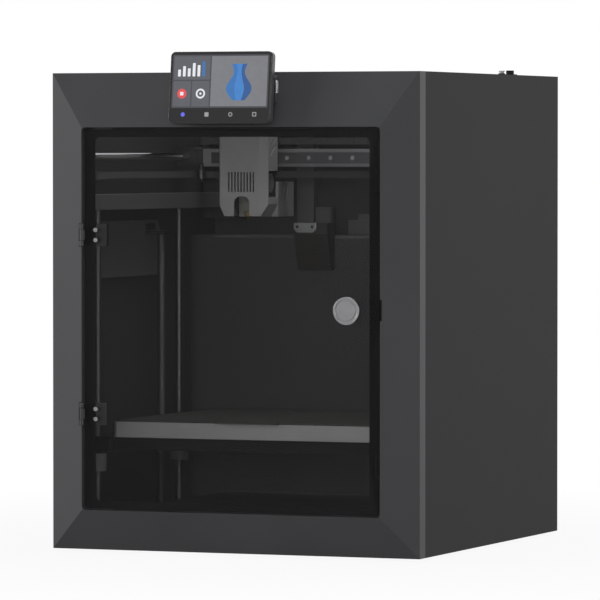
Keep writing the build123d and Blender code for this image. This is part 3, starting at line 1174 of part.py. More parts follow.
def rocker_centre():
    x0, x1, z0, z1 = INLET_BOX
    return x1 - 10.5, (z0 + z1) / 2


def power_inlet():
    """Mains inlet and switch housing in one moulding."""
    x0, x1, z0, z1 = INLET_BOX
    rim = 3.0
    body = slab_y(x0 - rim, x1 + rim, z0 - rim, z1 + rim, BODY_D, BODY_D + INLET_RIM_T, 3)
    body += box(x0 + 0.3, x1 - 0.3, BODY_D - SOCKET_DEEP - 3, BODY_D, z0 + 0.3, z1 - 0.3)
    cx, cz = x0 + 16, (z0 + z1) / 2
    recess = slab_y(cx - 12, cx + 12, cz - 8.5, cz + 8.5, BODY_D - SOCKET_DEEP, BODY_D + 3, 3)
    for dx in (-7, 0, 7):
        recess -= box(cx + dx - 1, cx + dx + 1, BODY_D - SOCKET_DEEP - 1, BODY_D - 3, cz - 2.5, cz + 2.5)
    body -= recess
    rx, rz = rocker_centre()
    w, h = ROCKER_W / 2 + 0.4, ROCKER_H / 2 + 0.4
    body -= box(rx - w, rx + w, BODY_D - 11, BODY_D + 3, rz - h, rz + h)
    return body + rod("x", rx - w, rx + w, BODY_D - 4.5, rz, PIN_R)


def rocker():
    """The switch's key, shown pressed at neither end: it turns on a pin across the housing."""
    rx, rz = rocker_centre()
    w, h, y = ROCKER_W / 2, ROCKER_H / 2 - 0.9, BODY_D - 4.5
    face = make_face(Polyline((y - 3, rz - 4), (y + 4.5, rz - h), (y + 6.4, rz - h), (y + 5.2, rz),
                              (y + 6.4, rz + h), (y + 4.5, rz + h),
                              (y - 3, rz + 4), close=True))
    key = extrude(Plane.YZ.offset(rx - w) * face, 2 * w)
    return key - rod("x", rx - w - 1, rx + w + 1, y, rz, PIN_R + PIN_FIT)


os.makedirs("parts", exist_ok=True)

save("front_frame", front_frame())
save("fixed_hinges", *fixed_knuckles(), *hinge_pins())
save("side_panel_left", mirrored(side_panel()))
save("side_panel_right", side_panel())
save("back_panel", back_panel())
save("top_frame", top_frame())
save("base_tray", base_tray())
save("feet", *feet())
save("chamber_walls", *chamber_walls())
save("chamber_floor", chamber_floor())
save("rear_wall", rear_wall())
save("guide_rods", *guide_rods())
save("rod_and_idler_brackets", *rod_holders(), *idler_brackets())
save("frame_idlers", *frame_idlers())
save("stepper_motors", *stepper_motors())
save("belts_fixed", *belts_fixed())
save("belts_moving", *belts_moving())
save("inner_covers", *deck_beams(), *inner_covers())
save("waste_chute", waste_chute(), *chute_bracket())
save("electronics", *electronics())
save("power_inlet", power_inlet())
save("screen_mount", screen_mount())
save("usb_port", usb_port())
save("exhaust_fan", exhaust_fan_place(axial_frame(FAN80_W, FAN80_T, 19, 4)))
save("exhaust_rotor", exhaust_fan_place(axial_rotor(FAN80_W, FAN80_T, 18, 7)))
save("rocker", rocker())
save("inlet_collar", inlet_collar())

save("door_glass", door_glass())
save("door_border", door_border())
save("door_hinges", *door_hinges())
save("hinge_screws", *hinge_screws())
save("door_knob", door_knob())
save("door_magnets", *door_magnets())
save("lid_glass", lid_glass())
save("lid_hinges", *lid_hinges())
save("screen_housing", screen_housing())
save("screen_glass", screen_glass())

save("y_carriages", *y_carriages())
save("cross_beam", cross_beam())
save("x_rail", x_rail(), *rail_screws())
save("gantry_idlers", *gantry_idlers())
save("belts_cross", *belts_cross())
save("left_pulley", belt_pulley(-1))
save("right_pulley", belt_pulley(1))

save("x_carriage", x_carriage())
save("toolhead_cover", toolhead_cover())
save("rear_shroud", rear_shroud())
save("hot_end", *hot_end())
save("nozzle", nozzle())
save("toolhead_fans", blower(), hotend_fan_place(axial_frame(FAN_W, FAN_T, 7, 2)))
save("blower_impeller", blower_impeller())
save("hotend_rotor", hotend_fan_place(axial_rotor(FAN_W, FAN_T, 6, 7)))
save("extruder", extruder(), extruder_motor())

save("bed_plate", bed_plate())
save("build_plate", build_plate())
save("bed_frame", bed_frame())
save("bed_bearings", *bed_bearings())
save("screw_nuts", *screw_nuts())
save("left_screw", lead_screw(-1))
save("right_screw", lead_screw(1))
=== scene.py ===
import bpy
import math
import numpy as np
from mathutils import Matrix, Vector


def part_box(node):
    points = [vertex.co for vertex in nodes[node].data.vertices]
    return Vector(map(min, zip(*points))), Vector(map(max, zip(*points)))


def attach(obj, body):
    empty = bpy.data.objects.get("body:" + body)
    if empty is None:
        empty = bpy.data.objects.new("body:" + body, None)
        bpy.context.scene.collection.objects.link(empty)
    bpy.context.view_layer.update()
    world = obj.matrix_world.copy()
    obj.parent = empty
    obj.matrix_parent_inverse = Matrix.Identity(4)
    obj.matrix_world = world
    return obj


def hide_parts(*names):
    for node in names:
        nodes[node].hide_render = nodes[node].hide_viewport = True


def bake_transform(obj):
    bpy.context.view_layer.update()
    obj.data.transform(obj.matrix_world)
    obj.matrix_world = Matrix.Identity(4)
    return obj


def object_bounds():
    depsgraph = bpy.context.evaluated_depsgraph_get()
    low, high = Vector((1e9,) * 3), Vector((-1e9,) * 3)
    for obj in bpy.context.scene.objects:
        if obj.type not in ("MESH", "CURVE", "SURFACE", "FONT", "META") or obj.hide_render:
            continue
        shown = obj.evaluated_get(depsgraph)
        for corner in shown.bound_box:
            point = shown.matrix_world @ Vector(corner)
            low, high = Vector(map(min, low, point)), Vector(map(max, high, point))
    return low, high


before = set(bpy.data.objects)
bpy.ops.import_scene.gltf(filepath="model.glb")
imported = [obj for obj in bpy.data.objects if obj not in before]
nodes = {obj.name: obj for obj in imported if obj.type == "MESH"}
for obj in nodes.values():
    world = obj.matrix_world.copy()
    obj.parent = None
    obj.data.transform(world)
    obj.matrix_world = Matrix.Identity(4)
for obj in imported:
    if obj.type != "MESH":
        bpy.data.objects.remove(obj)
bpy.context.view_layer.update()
print("frame loaded:", len(nodes), "nodes")


# colour is linear; grain is the fine bump (scale, strength), mottle the slow change of tone (scale, share),
# wear (with the painted edge highlight) the share of the paler edge, metal how metallic it is, gloss the
# strength of the plain reflection
finishes = {
    "frameMoulding": dict(
        color=(0.056, 0.057, 0.059), rough=0.52, grain=(1500, 0.10), mottle=(9, 0.07), wearAndHighlight=0.10, gloss=0.10),
    "sidePanel": dict(
        color=(0.036, 0.0365, 0.037), rough=0.62, grain=(1300, 0.12), mottle=(7, 0.08), wearAndHighlight=0.08, gloss=0.02),
    # the top moulding is the front moulding's plastic with a much darker tone, as painted shade on the top face
    "topMouldingPaintedShade": dict(
        color=(0.018, 0.018, 0.019), rough=0.54, grain=(1400, 0.10), mottle=(8, 0.07), wearAndHighlight=0.08, gloss=0.02),
    "powderCoat": dict(
        color=(0.030, 0.030, 0.032), rough=0.58, grain=(900, 0.22), mottle=(10, 0.10), wearAndHighlight=0.06),
    "chamberCoat": dict(
        color=(0.050, 0.050, 0.050), rough=0.56, grain=(900, 0.20), mottle=(8, 0.10), wearAndHighlight=0.06),
    "bedFrameBlack": dict(
        color=(0.007, 0.007, 0.007), rough=0.50, grain=(1000, 0.18), mottle=(16, 0.10), wearAndHighlight=0.08, gloss=0.1),
    "chamberBlack": dict(
        color=(0.046, 0.046, 0.047), rough=0.50, grain=(1100, 0.14), mottle=(11, 0.10), wearAndHighlight=0.04),
    "coverGrey": dict(
        color=(0.120, 0.120, 0.120), rough=0.48, grain=(1100, 0.14), mottle=(14, 0.08), wearAndHighlight=0.50),
    "chuteBrown": dict(
        color=(0.034, 0.032, 0.027), rough=0.48, grain=(1200, 0.12), mottle=(20, 0.10), wearAndHighlight=0.06),
    "plateSteel": dict(
        color=(0.34, 0.34, 0.335), rough=0.36, grain=(1400, 0.10), mottle=(40, 0.08), wearAndHighlight=0.10, metal=0.5),
    "softFoot": dict(
        color=(0.018, 0.018, 0.018), rough=0.85, grain=(700, 0.25), mottle=(30, 0.10), wearAndHighlight=0.0),
    "borderPrint": dict(
        color=(0.012, 0.012, 0.013), rough=0.35, grain=(1800, 0.03), mottle=(20, 0.05), wearAndHighlight=0.0, gloss=0.06),
    "blackOxide": dict(
        color=(0.020, 0.020, 0.021), rough=0.38, grain=(1600, 0.10), mottle=(60, 0.12), wearAndHighlight=0.20, metal=0.4),
    "brightSteel": dict(
        color=(0.45, 0.45, 0.45), rough=0.32, grain=(1500, 0.06), mottle=(60, 0.08), wearAndHighlight=0.0, metal=1.0),
    "screwSteel": dict(
        color=(0.120, 0.120, 0.122), rough=0.5, grain=(1500, 0.06), mottle=(60, 0.08), wearAndHighlight=0.0, metal=1.0),
    "railSteel": dict(
        color=(0.102, 0.102, 0.105), rough=0.40, grain=(1700, 0.06), mottle=(45, 0.08), wearAndHighlight=0.30, metal=1.0),
    "turnedAlloy": dict(
        color=(0.22, 0.22, 0.225), rough=0.30, grain=(1500, 0.08), mottle=(50, 0.07), wearAndHighlight=0.10, metal=1.0),
    "blastedAlloy": dict(
        color=(0.285, 0.285, 0.280), rough=0.55, grain=(1400, 0.16), mottle=(18, 0.08), wearAndHighlight=0.06, metal=0.2),
    "printSheet": dict(
        color=(0.034, 0.033, 0.028), rough=0.44, grain=(2000, 0.14), mottle=(12, 0.10), wearAndHighlight=0.0, metal=0.5),
    # the black cross beam is given a mid-grey tone as painted light, lifting it out of the shade it sits in
    "blackBeamPaintedLight": dict(
        color=(0.340, 0.340, 0.345), rough=0.36, grain=(1500, 0.08), mottle=(22, 0.08), wearAndHighlight=0.12, metal=0.3),
    "motorBlack": dict(
        color=(0.050, 0.050, 0.052), rough=0.40, grain=(1300, 0.10), mottle=(40, 0.10), wearAndHighlight=0.10, metal=0.6),
    "screenShell": dict(
        color=(0.040, 0.040, 0.042), rough=0.40, grain=(1500, 0.08), mottle=(30, 0.06), wearAndHighlight=0.35),
    "screenFace": dict(
        color=(0.006, 0.006, 0.007), rough=0.10, grain=(2400, 0.01), mottle=(15, 0.10), wearAndHighlight=0.0),
    "carriageBlack": dict(
        color=(0.034, 0.034, 0.036), rough=0.45, grain=(1300, 0.12), mottle=(35, 0.08), wearAndHighlight=0.10),
    "headGrey": dict(
        color=(0.450, 0.448, 0.440), rough=0.48, grain=(1500, 0.12), mottle=(26, 0.07), wearAndHighlight=0.08),
    "headDark": dict(
        color=(0.380, 0.378, 0.371), rough=0.48, grain=(1400, 0.12), mottle=(26, 0.08), wearAndHighlight=0.08),
    "sinkAlloy": dict(
        color=(0.30, 0.29, 0.25), rough=0.36, grain=(1500, 0.08), mottle=(55, 0.08), wearAndHighlight=0.08, metal=1.0),
    "brassTurned": dict(
        color=(0.60, 0.43, 0.18), rough=0.28, grain=(1600, 0.06), mottle=(60, 0.08), wearAndHighlight=0.0, metal=1.0),
    "impellerGrey": dict(
        color=(0.240, 0.238, 0.232), rough=0.42, grain=(1500, 0.08), mottle=(35, 0.08), wearAndHighlight=0.10),
    "idlerSteel": dict(
        color=(0.110, 0.110, 0.112), rough=0.45, grain=(1500, 0.06), mottle=(50, 0.08), wearAndHighlight=0.10, metal=1.0),
    "fanBlack": dict(
        color=(0.018, 0.018, 0.018), rough=0.42, grain=(1500, 0.08), mottle=(35, 0.08), wearAndHighlight=0.06),
    "boardGreen": dict(
        color=(0.030, 0.085, 0.045), rough=0.42, grain=(900, 0.18), mottle=(70, 0.25), wearAndHighlight=0.0),
    "glossBlack": dict(
        color=(0.013, 0.013, 0.013), rough=0.18, grain=(1900, 0.03), mottle=(40, 0.06), wearAndHighlight=0.05),
    "paleCollar": dict(
        color=(0.58, 0.58, 0.56), rough=0.28, grain=(1600, 0.04), mottle=(70, 0.05), wearAndHighlight=0.0),
}


def addNode(tree, kind, place, **values):
    node = tree.nodes.new(kind)
    node.location = place
    for key, value in values.items():
        if hasattr(node, key) and key not in node.inputs:
            setattr(node, key, value)
        else:
            node.inputs[key].default_value = value
    return node


def newMaterial(name):
    material = bpy.data.materials.new(name)
    material.use_nodes = True
    tree = material.node_tree
    tree.nodes.clear()
    out = addNode(tree, "ShaderNodeOutputMaterial", (900, 0))
    shader = addNode(tree, "ShaderNodeBsdfPrincipled", (600, 0))
    tree.links.new(shader.outputs[0], out.inputs[0])
    return material, tree, shader


def feed(tree, socket, value):
    # links the socket to another node's output, or sets it to a number or a colour
    if isinstance(value, bpy.types.NodeSocket):
        tree.links.new(value, socket)
    else:
        socket.default_value = value if isinstance(value, (int, float)) else (*value, 1)


def compute(tree, operation, place, *values):
    node = addNode(tree, "ShaderNodeMath", place, operation=operation)
    for socket, value in zip(node.inputs, values):
        feed(tree, socket, value)
    return node.outputs[0]


def spread(tree, source, low, high, place):
    # carries a value between 0 and 1 over to the range from low to high
    node = addNode(tree, "ShaderNodeMapRange", place)
    for socket, value in (("Value", source), ("To Min", low), ("To Max", high)):
        feed(tree, node.inputs[socket], value)
    return node.outputs[0]


def twoTone(tree, source, dark, pale, place, ends=(0.0, 1.0)):
    # a blend from the dark to the pale tone between the two ends of the source value
    node = addNode(tree, "ShaderNodeValToRGB", place)
    for element, tone, end in zip(node.color_ramp.elements, (dark, pale), ends):
        element.position = end
        element.color = (*tone, 1)
    tree.links.new(source, node.inputs[0])
    return node.outputs[0]


def mixTones(tree, share, first, second, place):
    # the first tone where the share is 0, the second where it is 1
    node = addNode(tree, "ShaderNodeMix", place, data_type="RGBA")
    for socket, value in ((0, share), (6, first), (7, second)):
        feed(tree, node.inputs[socket], value)
    return node.outputs[2]


def objectAxes(tree, place):
    # the object's own X, Y and Z
    coords = addNode(tree, "ShaderNodeTexCoord", (place[0] - 200, place[1]))
    split = addNode(tree, "ShaderNodeSeparateXYZ", place)
    tree.links.new(coords.outputs["Object"], split.inputs[0])
    return split.outputs


def objectNoise(tree, place, **values):
    # noise that stays with the object's own coordinates
    coords = addNode(tree, "ShaderNodeTexCoord", (place[0] - 250, place[1]))
    noise = addNode(tree, "ShaderNodeTexNoise", place, **values)
    tree.links.new(coords.outputs["Object"], noise.inputs["Vector"])
    return noise.outputs[0]


def bumpSurface(tree, shader, height, strength, depth, under=None):
    bump = addNode(tree, "ShaderNodeBump", (350, -300), Strength=strength, Distance=depth)
    tree.links.new(height, bump.inputs["Height"])
    if under:
        tree.links.new(under, bump.inputs["Normal"])
    tree.links.new(bump.outputs[0], shader.inputs["Normal"])


patternLook = dict(toneEnds=(0.3, 0.7), roughShare=0.12, grainDepth=0.0002)
# the paler edge stands partly for wear and partly for a painted highlight where edges catch the light
edgeWearAndHighlightLook = dict(radius=0.0007, samples=4, flat=1.0, turned=0.75, paler=2.2, lift=0.05)


def makeFinish(name, look):
    material, tree, shader = newMaterial(name)
    link = tree.links.new
    color = look["color"]
    mottleScale, mottleShare = look["mottle"]
    grainScale, grainStrength = look["grain"]
    slow = objectNoise(tree, (-650, 200), Scale=mottleScale, Detail=4.0, Roughness=0.6)
    fine = objectNoise(tree, (-650, -200), Scale=grainScale, Detail=2.0, Roughness=0.5)
    dark, pale = [[c * (1 + sign * mottleShare) for c in color] for sign in (-1, 1)]
    tone = twoTone(tree, slow, dark, pale, (-400, 250), patternLook["toneEnds"])
    # the paler edge, partly wear and partly a painted highlight on the edge, is where the rounded normal turns
    # away from the true one
    rounded = addNode(tree, "ShaderNodeBevel", (-650, -450), samples=edgeWearAndHighlightLook["samples"],
                      Radius=edgeWearAndHighlightLook["radius"])
    if look.get("wearAndHighlight"):
        true = addNode(tree, "ShaderNodeNewGeometry", (-650, -650))
        dot = addNode(tree, "ShaderNodeVectorMath", (-420, -500), operation="DOT_PRODUCT")
        link(rounded.outputs[0], dot.inputs[0])
        link(true.outputs["Normal"], dot.inputs[1])
        edge = addNode(tree, "ShaderNodeMapRange", (-220, -450))
        edge.inputs["From Min"].default_value = edgeWearAndHighlightLook["flat"]
        edge.inputs["From Max"].default_value = edgeWearAndHighlightLook["turned"]
        edge.inputs["To Max"].default_value = look["wearAndHighlight"]
        link(dot.outputs["Value"], edge.inputs["Value"])
        paler = [min(1, c * edgeWearAndHighlightLook["paler"] + edgeWearAndHighlightLook["lift"]) for c in color]
        tone = mixTones(tree, edge.outputs[0], tone, paler, (100, 200))
    link(tone, shader.inputs["Base Color"])
    smooth, dull = [look["rough"] * (1 + sign * patternLook["roughShare"]) for sign in (-1, 1)]
    link(spread(tree, slow, smooth, min(1, dull), (-200, 0)), shader.inputs["Roughness"])
    bumpSurface(tree, shader, fine, grainStrength, patternLook["grainDepth"], rounded.outputs[0])
    shader.inputs["Metallic"].default_value = look.get("metal", 0.0)
    shader.inputs["Specular IOR Level"].default_value = look.get("gloss", 0.4)
    return material


beltLook = dict(thick=0.0014, height=0.007, stations=24, ridgePitch=0.002, ridgeDepth=0.0004,
                ridgeStrength=0.5, dark=(0.066, 0.066, 0.066), pale=(0.100, 0.100, 0.100), smooth=0.62,
                dusty=0.82, dustScale=120.0)


def makeBelt():
    # black rubber with cross ridges at the pitch, the sine of a full turn for each pitch along X plus Y
    material, tree, shader = newMaterial("beltRubber")
    link = tree.links.new
    axes = objectAxes(tree, (-700, 0))
    along = compute(tree, "ADD", (-500, 0), axes[0], axes[1])
    turns = compute(tree, "MULTIPLY", (-350, 0), along, 2 * math.pi / beltLook["ridgePitch"])
    wave = compute(tree, "SINE", (-200, 0), turns)
    dust = objectNoise(tree, (-350, 250), Scale=beltLook["dustScale"], Detail=4.0)
    tone = twoTone(tree, dust, beltLook["dark"], beltLook["pale"], (-100, 250))
    rough = spread(tree, dust, beltLook["smooth"], beltLook["dusty"], (-100, 450))
    link(tone, shader.inputs["Base Color"])
    link(rough, shader.inputs["Roughness"])
    bumpSurface(tree, shader, wave, beltLook["ridgeStrength"], beltLook["ridgeDepth"])
    return material


glassLook = dict(tint=(0.925, 0.927, 0.93), haze=(0.090, 0.090, 0.091), ior=1.6, rough=0.03, smudge=0.05,
                 smudgeScale=14.0)


def makeSmokedGlass():
    # tinted see-through layer under a clear reflecting face, with faint smudges in the gloss
    material, tree, shader = newMaterial("smokedGlass")
    link = tree.links.new
    out = [n for n in tree.nodes if n.type == "OUTPUT_MATERIAL"][0]
    smudge = objectNoise(tree, (-500, 0), Scale=glassLook["smudgeScale"], Detail=3.0)
    clean = glassLook["rough"]
    rough = spread(tree, smudge, clean, clean + glassLook["smudge"], (-250, 0))
    link(rough, shader.inputs["Roughness"])
    shader.inputs["Base Color"].default_value = (*glassLook["haze"], 1)
    clear = addNode(tree, "ShaderNodeBsdfTransparent", (300, -200))
    clear.inputs[0].default_value = (*glassLook["tint"], 1)
    face = addNode(tree, "ShaderNodeFresnel", (300, 200))
    # leaving the sheet counts the same as entering it, as nothing bends inside
    side = addNode(tree, "ShaderNodeNewGeometry", (-200, 300))
    ratio = spread(tree, side.outputs["Backfacing"], glassLook["ior"], 1 / glassLook["ior"], (50, 300))
    link(ratio, face.inputs[0])
    mix = addNode(tree, "ShaderNodeMixShader", (750, 0))
    for i, part in enumerate((face, clear, shader)):
        link(part.outputs[0], mix.inputs[i])
    link(mix.outputs[0], out.inputs[0])
    return material


litLook = dict(scale=160.0, uneven=0.1, faceColor=(0.01, 0.01, 0.01), faceRough=0.2, strength=1.0)


def makeLit(name, color):
    # a lit spot of the display: a slightly uneven glow behind a glossy face
    material, tree, shader = newMaterial(name)
    noise = objectNoise(tree, (-400, 0), Scale=litLook["scale"], Detail=2.0)
    dark, pale = [[min(1, c * (1 + sign * litLook["uneven"])) for c in color] for sign in (-1, 1)]
    glow = twoTone(tree, noise, dark, pale, (-150, 0))
    tree.links.new(glow, shader.inputs["Emission Color"])
    shader.inputs["Emission Strength"].default_value = litLook["strength"]
    shader.inputs["Base Color"].default_value = (*litLook["faceColor"], 1)
    shader.inputs["Roughness"].default_value = litLook["faceRough"]
    return material


# the satin tone is painted shade: the uprights are the same steel as the level rods, only darker
rodLook = dict(height=0.37, satin=(0.095, 0.095, 0.097), polished=(0.72, 0.72, 0.73), satinRough=0.46,
               polishedRough=0.06, grindScale=2200.0, grindStrength=0.03, grindDepth=0.0002)


def makeRods():
    # uprights below the deck height take a dark satin tone as painted shade, level rods above it a pale
    # polished tone, with fine grinding marks
    material, tree, shader = newMaterial("rodChrome")
    link = tree.links.new
    above = compute(tree, "GREATER_THAN", (-500, 0), objectAxes(tree, (-700, 0))[2], rodLook["height"])
    tone = mixTones(tree, above, rodLook["satin"], rodLook["polished"], (-200, 200))
    rough = spread(tree, above, rodLook["satinRough"], rodLook["polishedRough"], (-200, -50))
    grind = objectNoise(tree, (-500, -300), Scale=rodLook["grindScale"], Detail=2.0)
    link(tone, shader.inputs["Base Color"])
    link(rough, shader.inputs["Roughness"])
    bumpSurface(tree, shader, grind, rodLook["grindStrength"], rodLook["grindDepth"])
    shader.inputs["Metallic"].default_value = 1.0
    return material


sleeveLook = dict(color=(0.200, 0.200, 0.202), drop=0.0055)


def paleBelow(material, height, color):
    # the lowest part of a piece takes a second, paler tone below the given height
    tree = material.node_tree
    shader = [node for node in tree.nodes if node.type == "BSDF_PRINCIPLED"][0]
    first = shader.inputs["Base Color"].links[0].from_socket
    below = compute(tree, "LESS_THAN", (240, 500), objectAxes(tree, (80, 500))[2], height)
    tone = mixTones(tree, below, first, color, (400, 300))
    tree.links.new(tone, shader.inputs["Base Color"])


materials = {name: makeFinish(name, look) for name, look in finishes.items()}
# the bearing sleeves hang under the bed's arms, just below the flanges of the screw nuts
paleBelow(materials["bedFrameBlack"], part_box("bed_bearings")[1][2] - sleeveLook["drop"], sleeveLook["color"])
materials["rodChrome"] = makeRods()
materials["beltRubber"] = makeBelt()
materials["smokedGlass"] = makeSmokedGlass()

dressing = {
    "frameMoulding": ["front_frame"],
    "topMouldingPaintedShade": ["top_frame"],
    "sidePanel": ["side_panel_left", "side_panel_right"],
    "powderCoat": ["back_panel", "base_tray"],
    "chamberCoat": ["rear_wall", "chamber_floor"],
    "bedFrameBlack": ["bed_frame"],
    "chamberBlack": ["chamber_walls"],
    "coverGrey": ["inner_covers"],
    "chuteBrown": ["waste_chute"],
    "softFoot": ["feet"],
    "smokedGlass": ["door_glass", "lid_glass"],
    "borderPrint": ["door_border"],
    "blackOxide": ["fixed_hinges", "door_hinges", "lid_hinges", "rod_and_idler_brackets"],
    "screwSteel": ["screw_nuts"],
    "brightSteel": ["usb_port", "bed_bearings", "left_screw", "right_screw", "door_magnets"],
    "idlerSteel": ["left_pulley", "right_pulley", "frame_idlers", "gantry_idlers"],
    "rodChrome": ["guide_rods"],
    "railSteel": ["x_rail"],
    "turnedAlloy": ["door_knob", "hinge_screws"],
    "blastedAlloy": ["bed_plate"],
    "printSheet": ["build_plate"],
    "blackBeamPaintedLight": ["cross_beam"],
    "motorBlack": ["stepper_motors"],
    "beltRubber": ["belts_fixed", "belts_moving", "belts_cross"],
    "screenShell": ["screen_housing", "screen_mount"],
    "screenFace": ["screen_glass"],
    "carriageBlack": ["y_carriages", "x_carriage"],
    "headGrey": ["toolhead_cover"],
    "headDark": ["rear_shroud", "extruder"],
    "sinkAlloy": ["hot_end"],
    "brassTurned": ["nozzle"],
    "fanBlack": ["toolhead_fans", "exhaust_fan", "hotend_rotor", "exhaust_rotor"],
    "impellerGrey": ["blower_impeller"],
    "boardGreen": ["electronics"],
    "glossBlack": ["power_inlet", "rocker"],
    "paleCollar": ["inlet_collar"],
}
for finish, members in dressing.items():
    for member in members:
        mesh = nodes[member].data
        mesh.materials.clear()
        mesh.materials.append(materials[finish])
undressed = sorted(set(nodes) - {m for members in dressing.values() for m in members})
print("finishes:", len(materials), "undressed nodes:", undressed)


def gridFaces(rows, columns, wrapColumns=False):
    # four-sided faces between neighbouring points of a grid stored row by row
    i, j = np.meshgrid(np.arange(rows - 1), np.arange(columns if wrapColumns else columns - 1), indexing="ij")
    near, far, right = i * columns, (i + 1) * columns, (j + 1) % columns
    return np.stack([near + j, near + right, far + right, far + j], -1).reshape(-1, 4)


def poleFaces(pole, first, count, turned=False):
    # triangles from a pole point to each step of the ring of points that begins at first
    ring = np.arange(count)
    here, following = first + ring, first + (ring + 1) % count
    corners = (here, following) if turned else (following, here)
    return np.stack([np.full(count, pole), *corners], -1)


def newObject(name, points, faces, material):
    mesh = bpy.data.meshes.new(name)
    mesh.from_pydata(points.reshape(-1, 3).tolist(), [], [list(map(int, face)) for face in faces])
    mesh.update()
    mesh.materials.append(material)
    made = bpy.data.objects.new(name, mesh)
    bpy.context.scene.collection.objects.link(made)
    return made


def addPiece(name, points, faces, material, body):
    piece = newObject(name, points, faces, material)
    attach(piece, body)
    return piece


screwLook = dict(lead=0.008, starts=4, depth=0.00055, crest=1.6, around=48, perTurn=36, endGap=0.0008)


def leadScrew(name, node, body):
    # radius = rod radius less the depth times a rounded wave of (starts * angle - starts * height / lead)
    low, high = [np.array(c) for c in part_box(node)]
    radius = min(high[0] - low[0], high[1] - low[1]) / 2
    middle = (low + high) / 2
    rows = int((high[2] - low[2]) / screwLook["lead"] * screwLook["perTurn"])
    z = np.linspace(low[2] + screwLook["endGap"], high[2] - screwLook["endGap"], rows)[:, None]
    angle = np.linspace(0, 2 * math.pi, screwLook["around"], endpoint=False)[None, :]
    phase = screwLook["starts"] * (angle - 2 * math.pi * (z - low[2]) / screwLook["lead"])
    wave = np.clip(screwLook["crest"] * np.sin(phase), -1, 1) * 0.5 + 0.5
    r = radius - screwLook["depth"] * wave
    points = np.stack([middle[0] + r * np.cos(angle), middle[1] + r * np.sin(angle), z + 0 * angle], -1)
    count = screwLook["around"]
    poles = np.array([[middle[0], middle[1], low[2]], [middle[0], middle[1], high[2]]])
    faces = gridFaces(rows, count, True).tolist() + poleFaces(rows * count, 0, count).tolist()
    faces += poleFaces(rows * count + 1, (rows - 1) * count, count, True).tolist()
    allPoints = np.concatenate([points.reshape(-1, 3), poles])
    piece = addPiece(name, allPoints, faces, materials["screwSteel"], body)
    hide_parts(node)
    return piece


def barFaces(stations):
    # sides between neighbouring four-cornered sections, and a cap at each end
    last = (stations - 1) * 4
    return gridFaces(stations, 4, True).tolist() + [[3, 2, 1, 0], [last, last + 1, last + 2, last + 3]]


def beltRun(name, x, z, fixedY, movingY):
    # a straight band: the same rectangle at evenly spaced stations along Y
    half, n = beltLook["thick"] / 2, beltLook["stations"]
    y = np.linspace(min(fixedY, movingY), max(fixedY, movingY), n)[:, None]
    cornersX = x + half * np.array([[-1, -1, 1, 1]])
    cornersZ = z + beltLook["height"] * np.array([[0, 1, 1, 0]])
    points = np.stack([cornersX + 0 * y, y + 0 * cornersX, cornersZ + 0 * y], -1)
    belt = newObject(name, points, barFaces(n), materials["beltRubber"])
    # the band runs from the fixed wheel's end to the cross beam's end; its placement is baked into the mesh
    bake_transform(belt)
    return belt


def beltRuns():
    low, high = [np.array(c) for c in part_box("belts_moving")]
    crossLow, crossHigh = [np.array(c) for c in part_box("belts_cross")]
    half = beltLook["thick"] / 2
    left, right = low[0] + half, high[0] - half
    lowBelt, highBelt = low[2], high[2] - beltLook["height"]
    front = beltRun("beltFrontLeft", left, lowBelt, low[1], crossLow[1])
    beltRun("beltFrontRight", right, highBelt, low[1], crossLow[1])
    beltRun("beltRearLeft", left, highBelt, high[1], crossHigh[1])
    beltRun("beltRearRight", right, lowBelt, high[1], crossHigh[1])
    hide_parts("belts_moving")


leadScrew("leftScrewThread", "left_screw", "left_screw")
leadScrew("rightScrewThread", "right_screw", "right_screw")
beltRuns()
print("lead screws threaded, belts strung")


railLook = dict(count=12, pitch=0.025, radius=0.0023, height=0.0030, socket=0.00095, socketDepth=0.0011,
                sunk=0.00035, softEdge=0.0003, socketEdge=0.0002, around=36)


def railScrewHeads():
    # a turned profile of (radius, depth) about each screw's axis, its socket radius drawn in to a hexagon
    low, high = [np.array(c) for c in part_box("x_rail")]
    n = railLook["around"]
    angle = np.linspace(0, 2 * math.pi, n, endpoint=False)[None, :]
    hexagon = math.cos(math.pi / 6) / np.cos(np.mod(angle, math.pi / 3) - math.pi / 6)
    r, socket, soft = railLook["radius"], railLook["socket"], railLook["softEdge"]
    profile = np.array([(r, railLook["height"], 0), (r, soft, 0), (r - soft, 0, 0),
                        (socket + railLook["socketEdge"], 0, 0), (socket, soft, 1),
                        (socket, railLook["socketDepth"], 1)])
    shaped = profile[:, 2:3]  # 1 where the ring is drawn in to the hexagon
    radius = profile[:, 0:1] * (shaped * hexagon + (1 - shaped))
    depth = low[1] + railLook["sunk"] + profile[:, 1:2] + 0 * angle
    rows = len(profile)
    sides = [gridFaces(rows, n, True), poleFaces(rows * n, 0, n),
             poleFaces(rows * n + 1, (rows - 1) * n, n, True)]
    points, faces = [], []
    for i in range(railLook["count"]):
        x = (low[0] + high[0]) / 2 + (i - (railLook["count"] - 1) / 2) * railLook["pitch"]
        z = (low[2] + high[2]) / 2
        turned = np.stack([x + radius * np.cos(angle), depth, z + radius * np.sin(angle)], -1).reshape(-1, 3)
        ends = np.array([[x, depth[0, 0], z], [x, depth[-1, 0], z]])
        points.append(np.concatenate([turned, ends]))
        for side in sides:
            faces += (side + i * (rows * n + 2)).tolist()
    steel = materials["brightSteel"]
    return addPiece("railScrewHeads", np.concatenate(points), faces, steel, "gantry")


chutePlateLook = dict(inset=0.0006, width=0.0262, height=0.0105, cut=0.004, thick=0.0019, depth=0.0218,
                      frontShare=0.93, frontStep=0.0002, softEdge=0.0003)


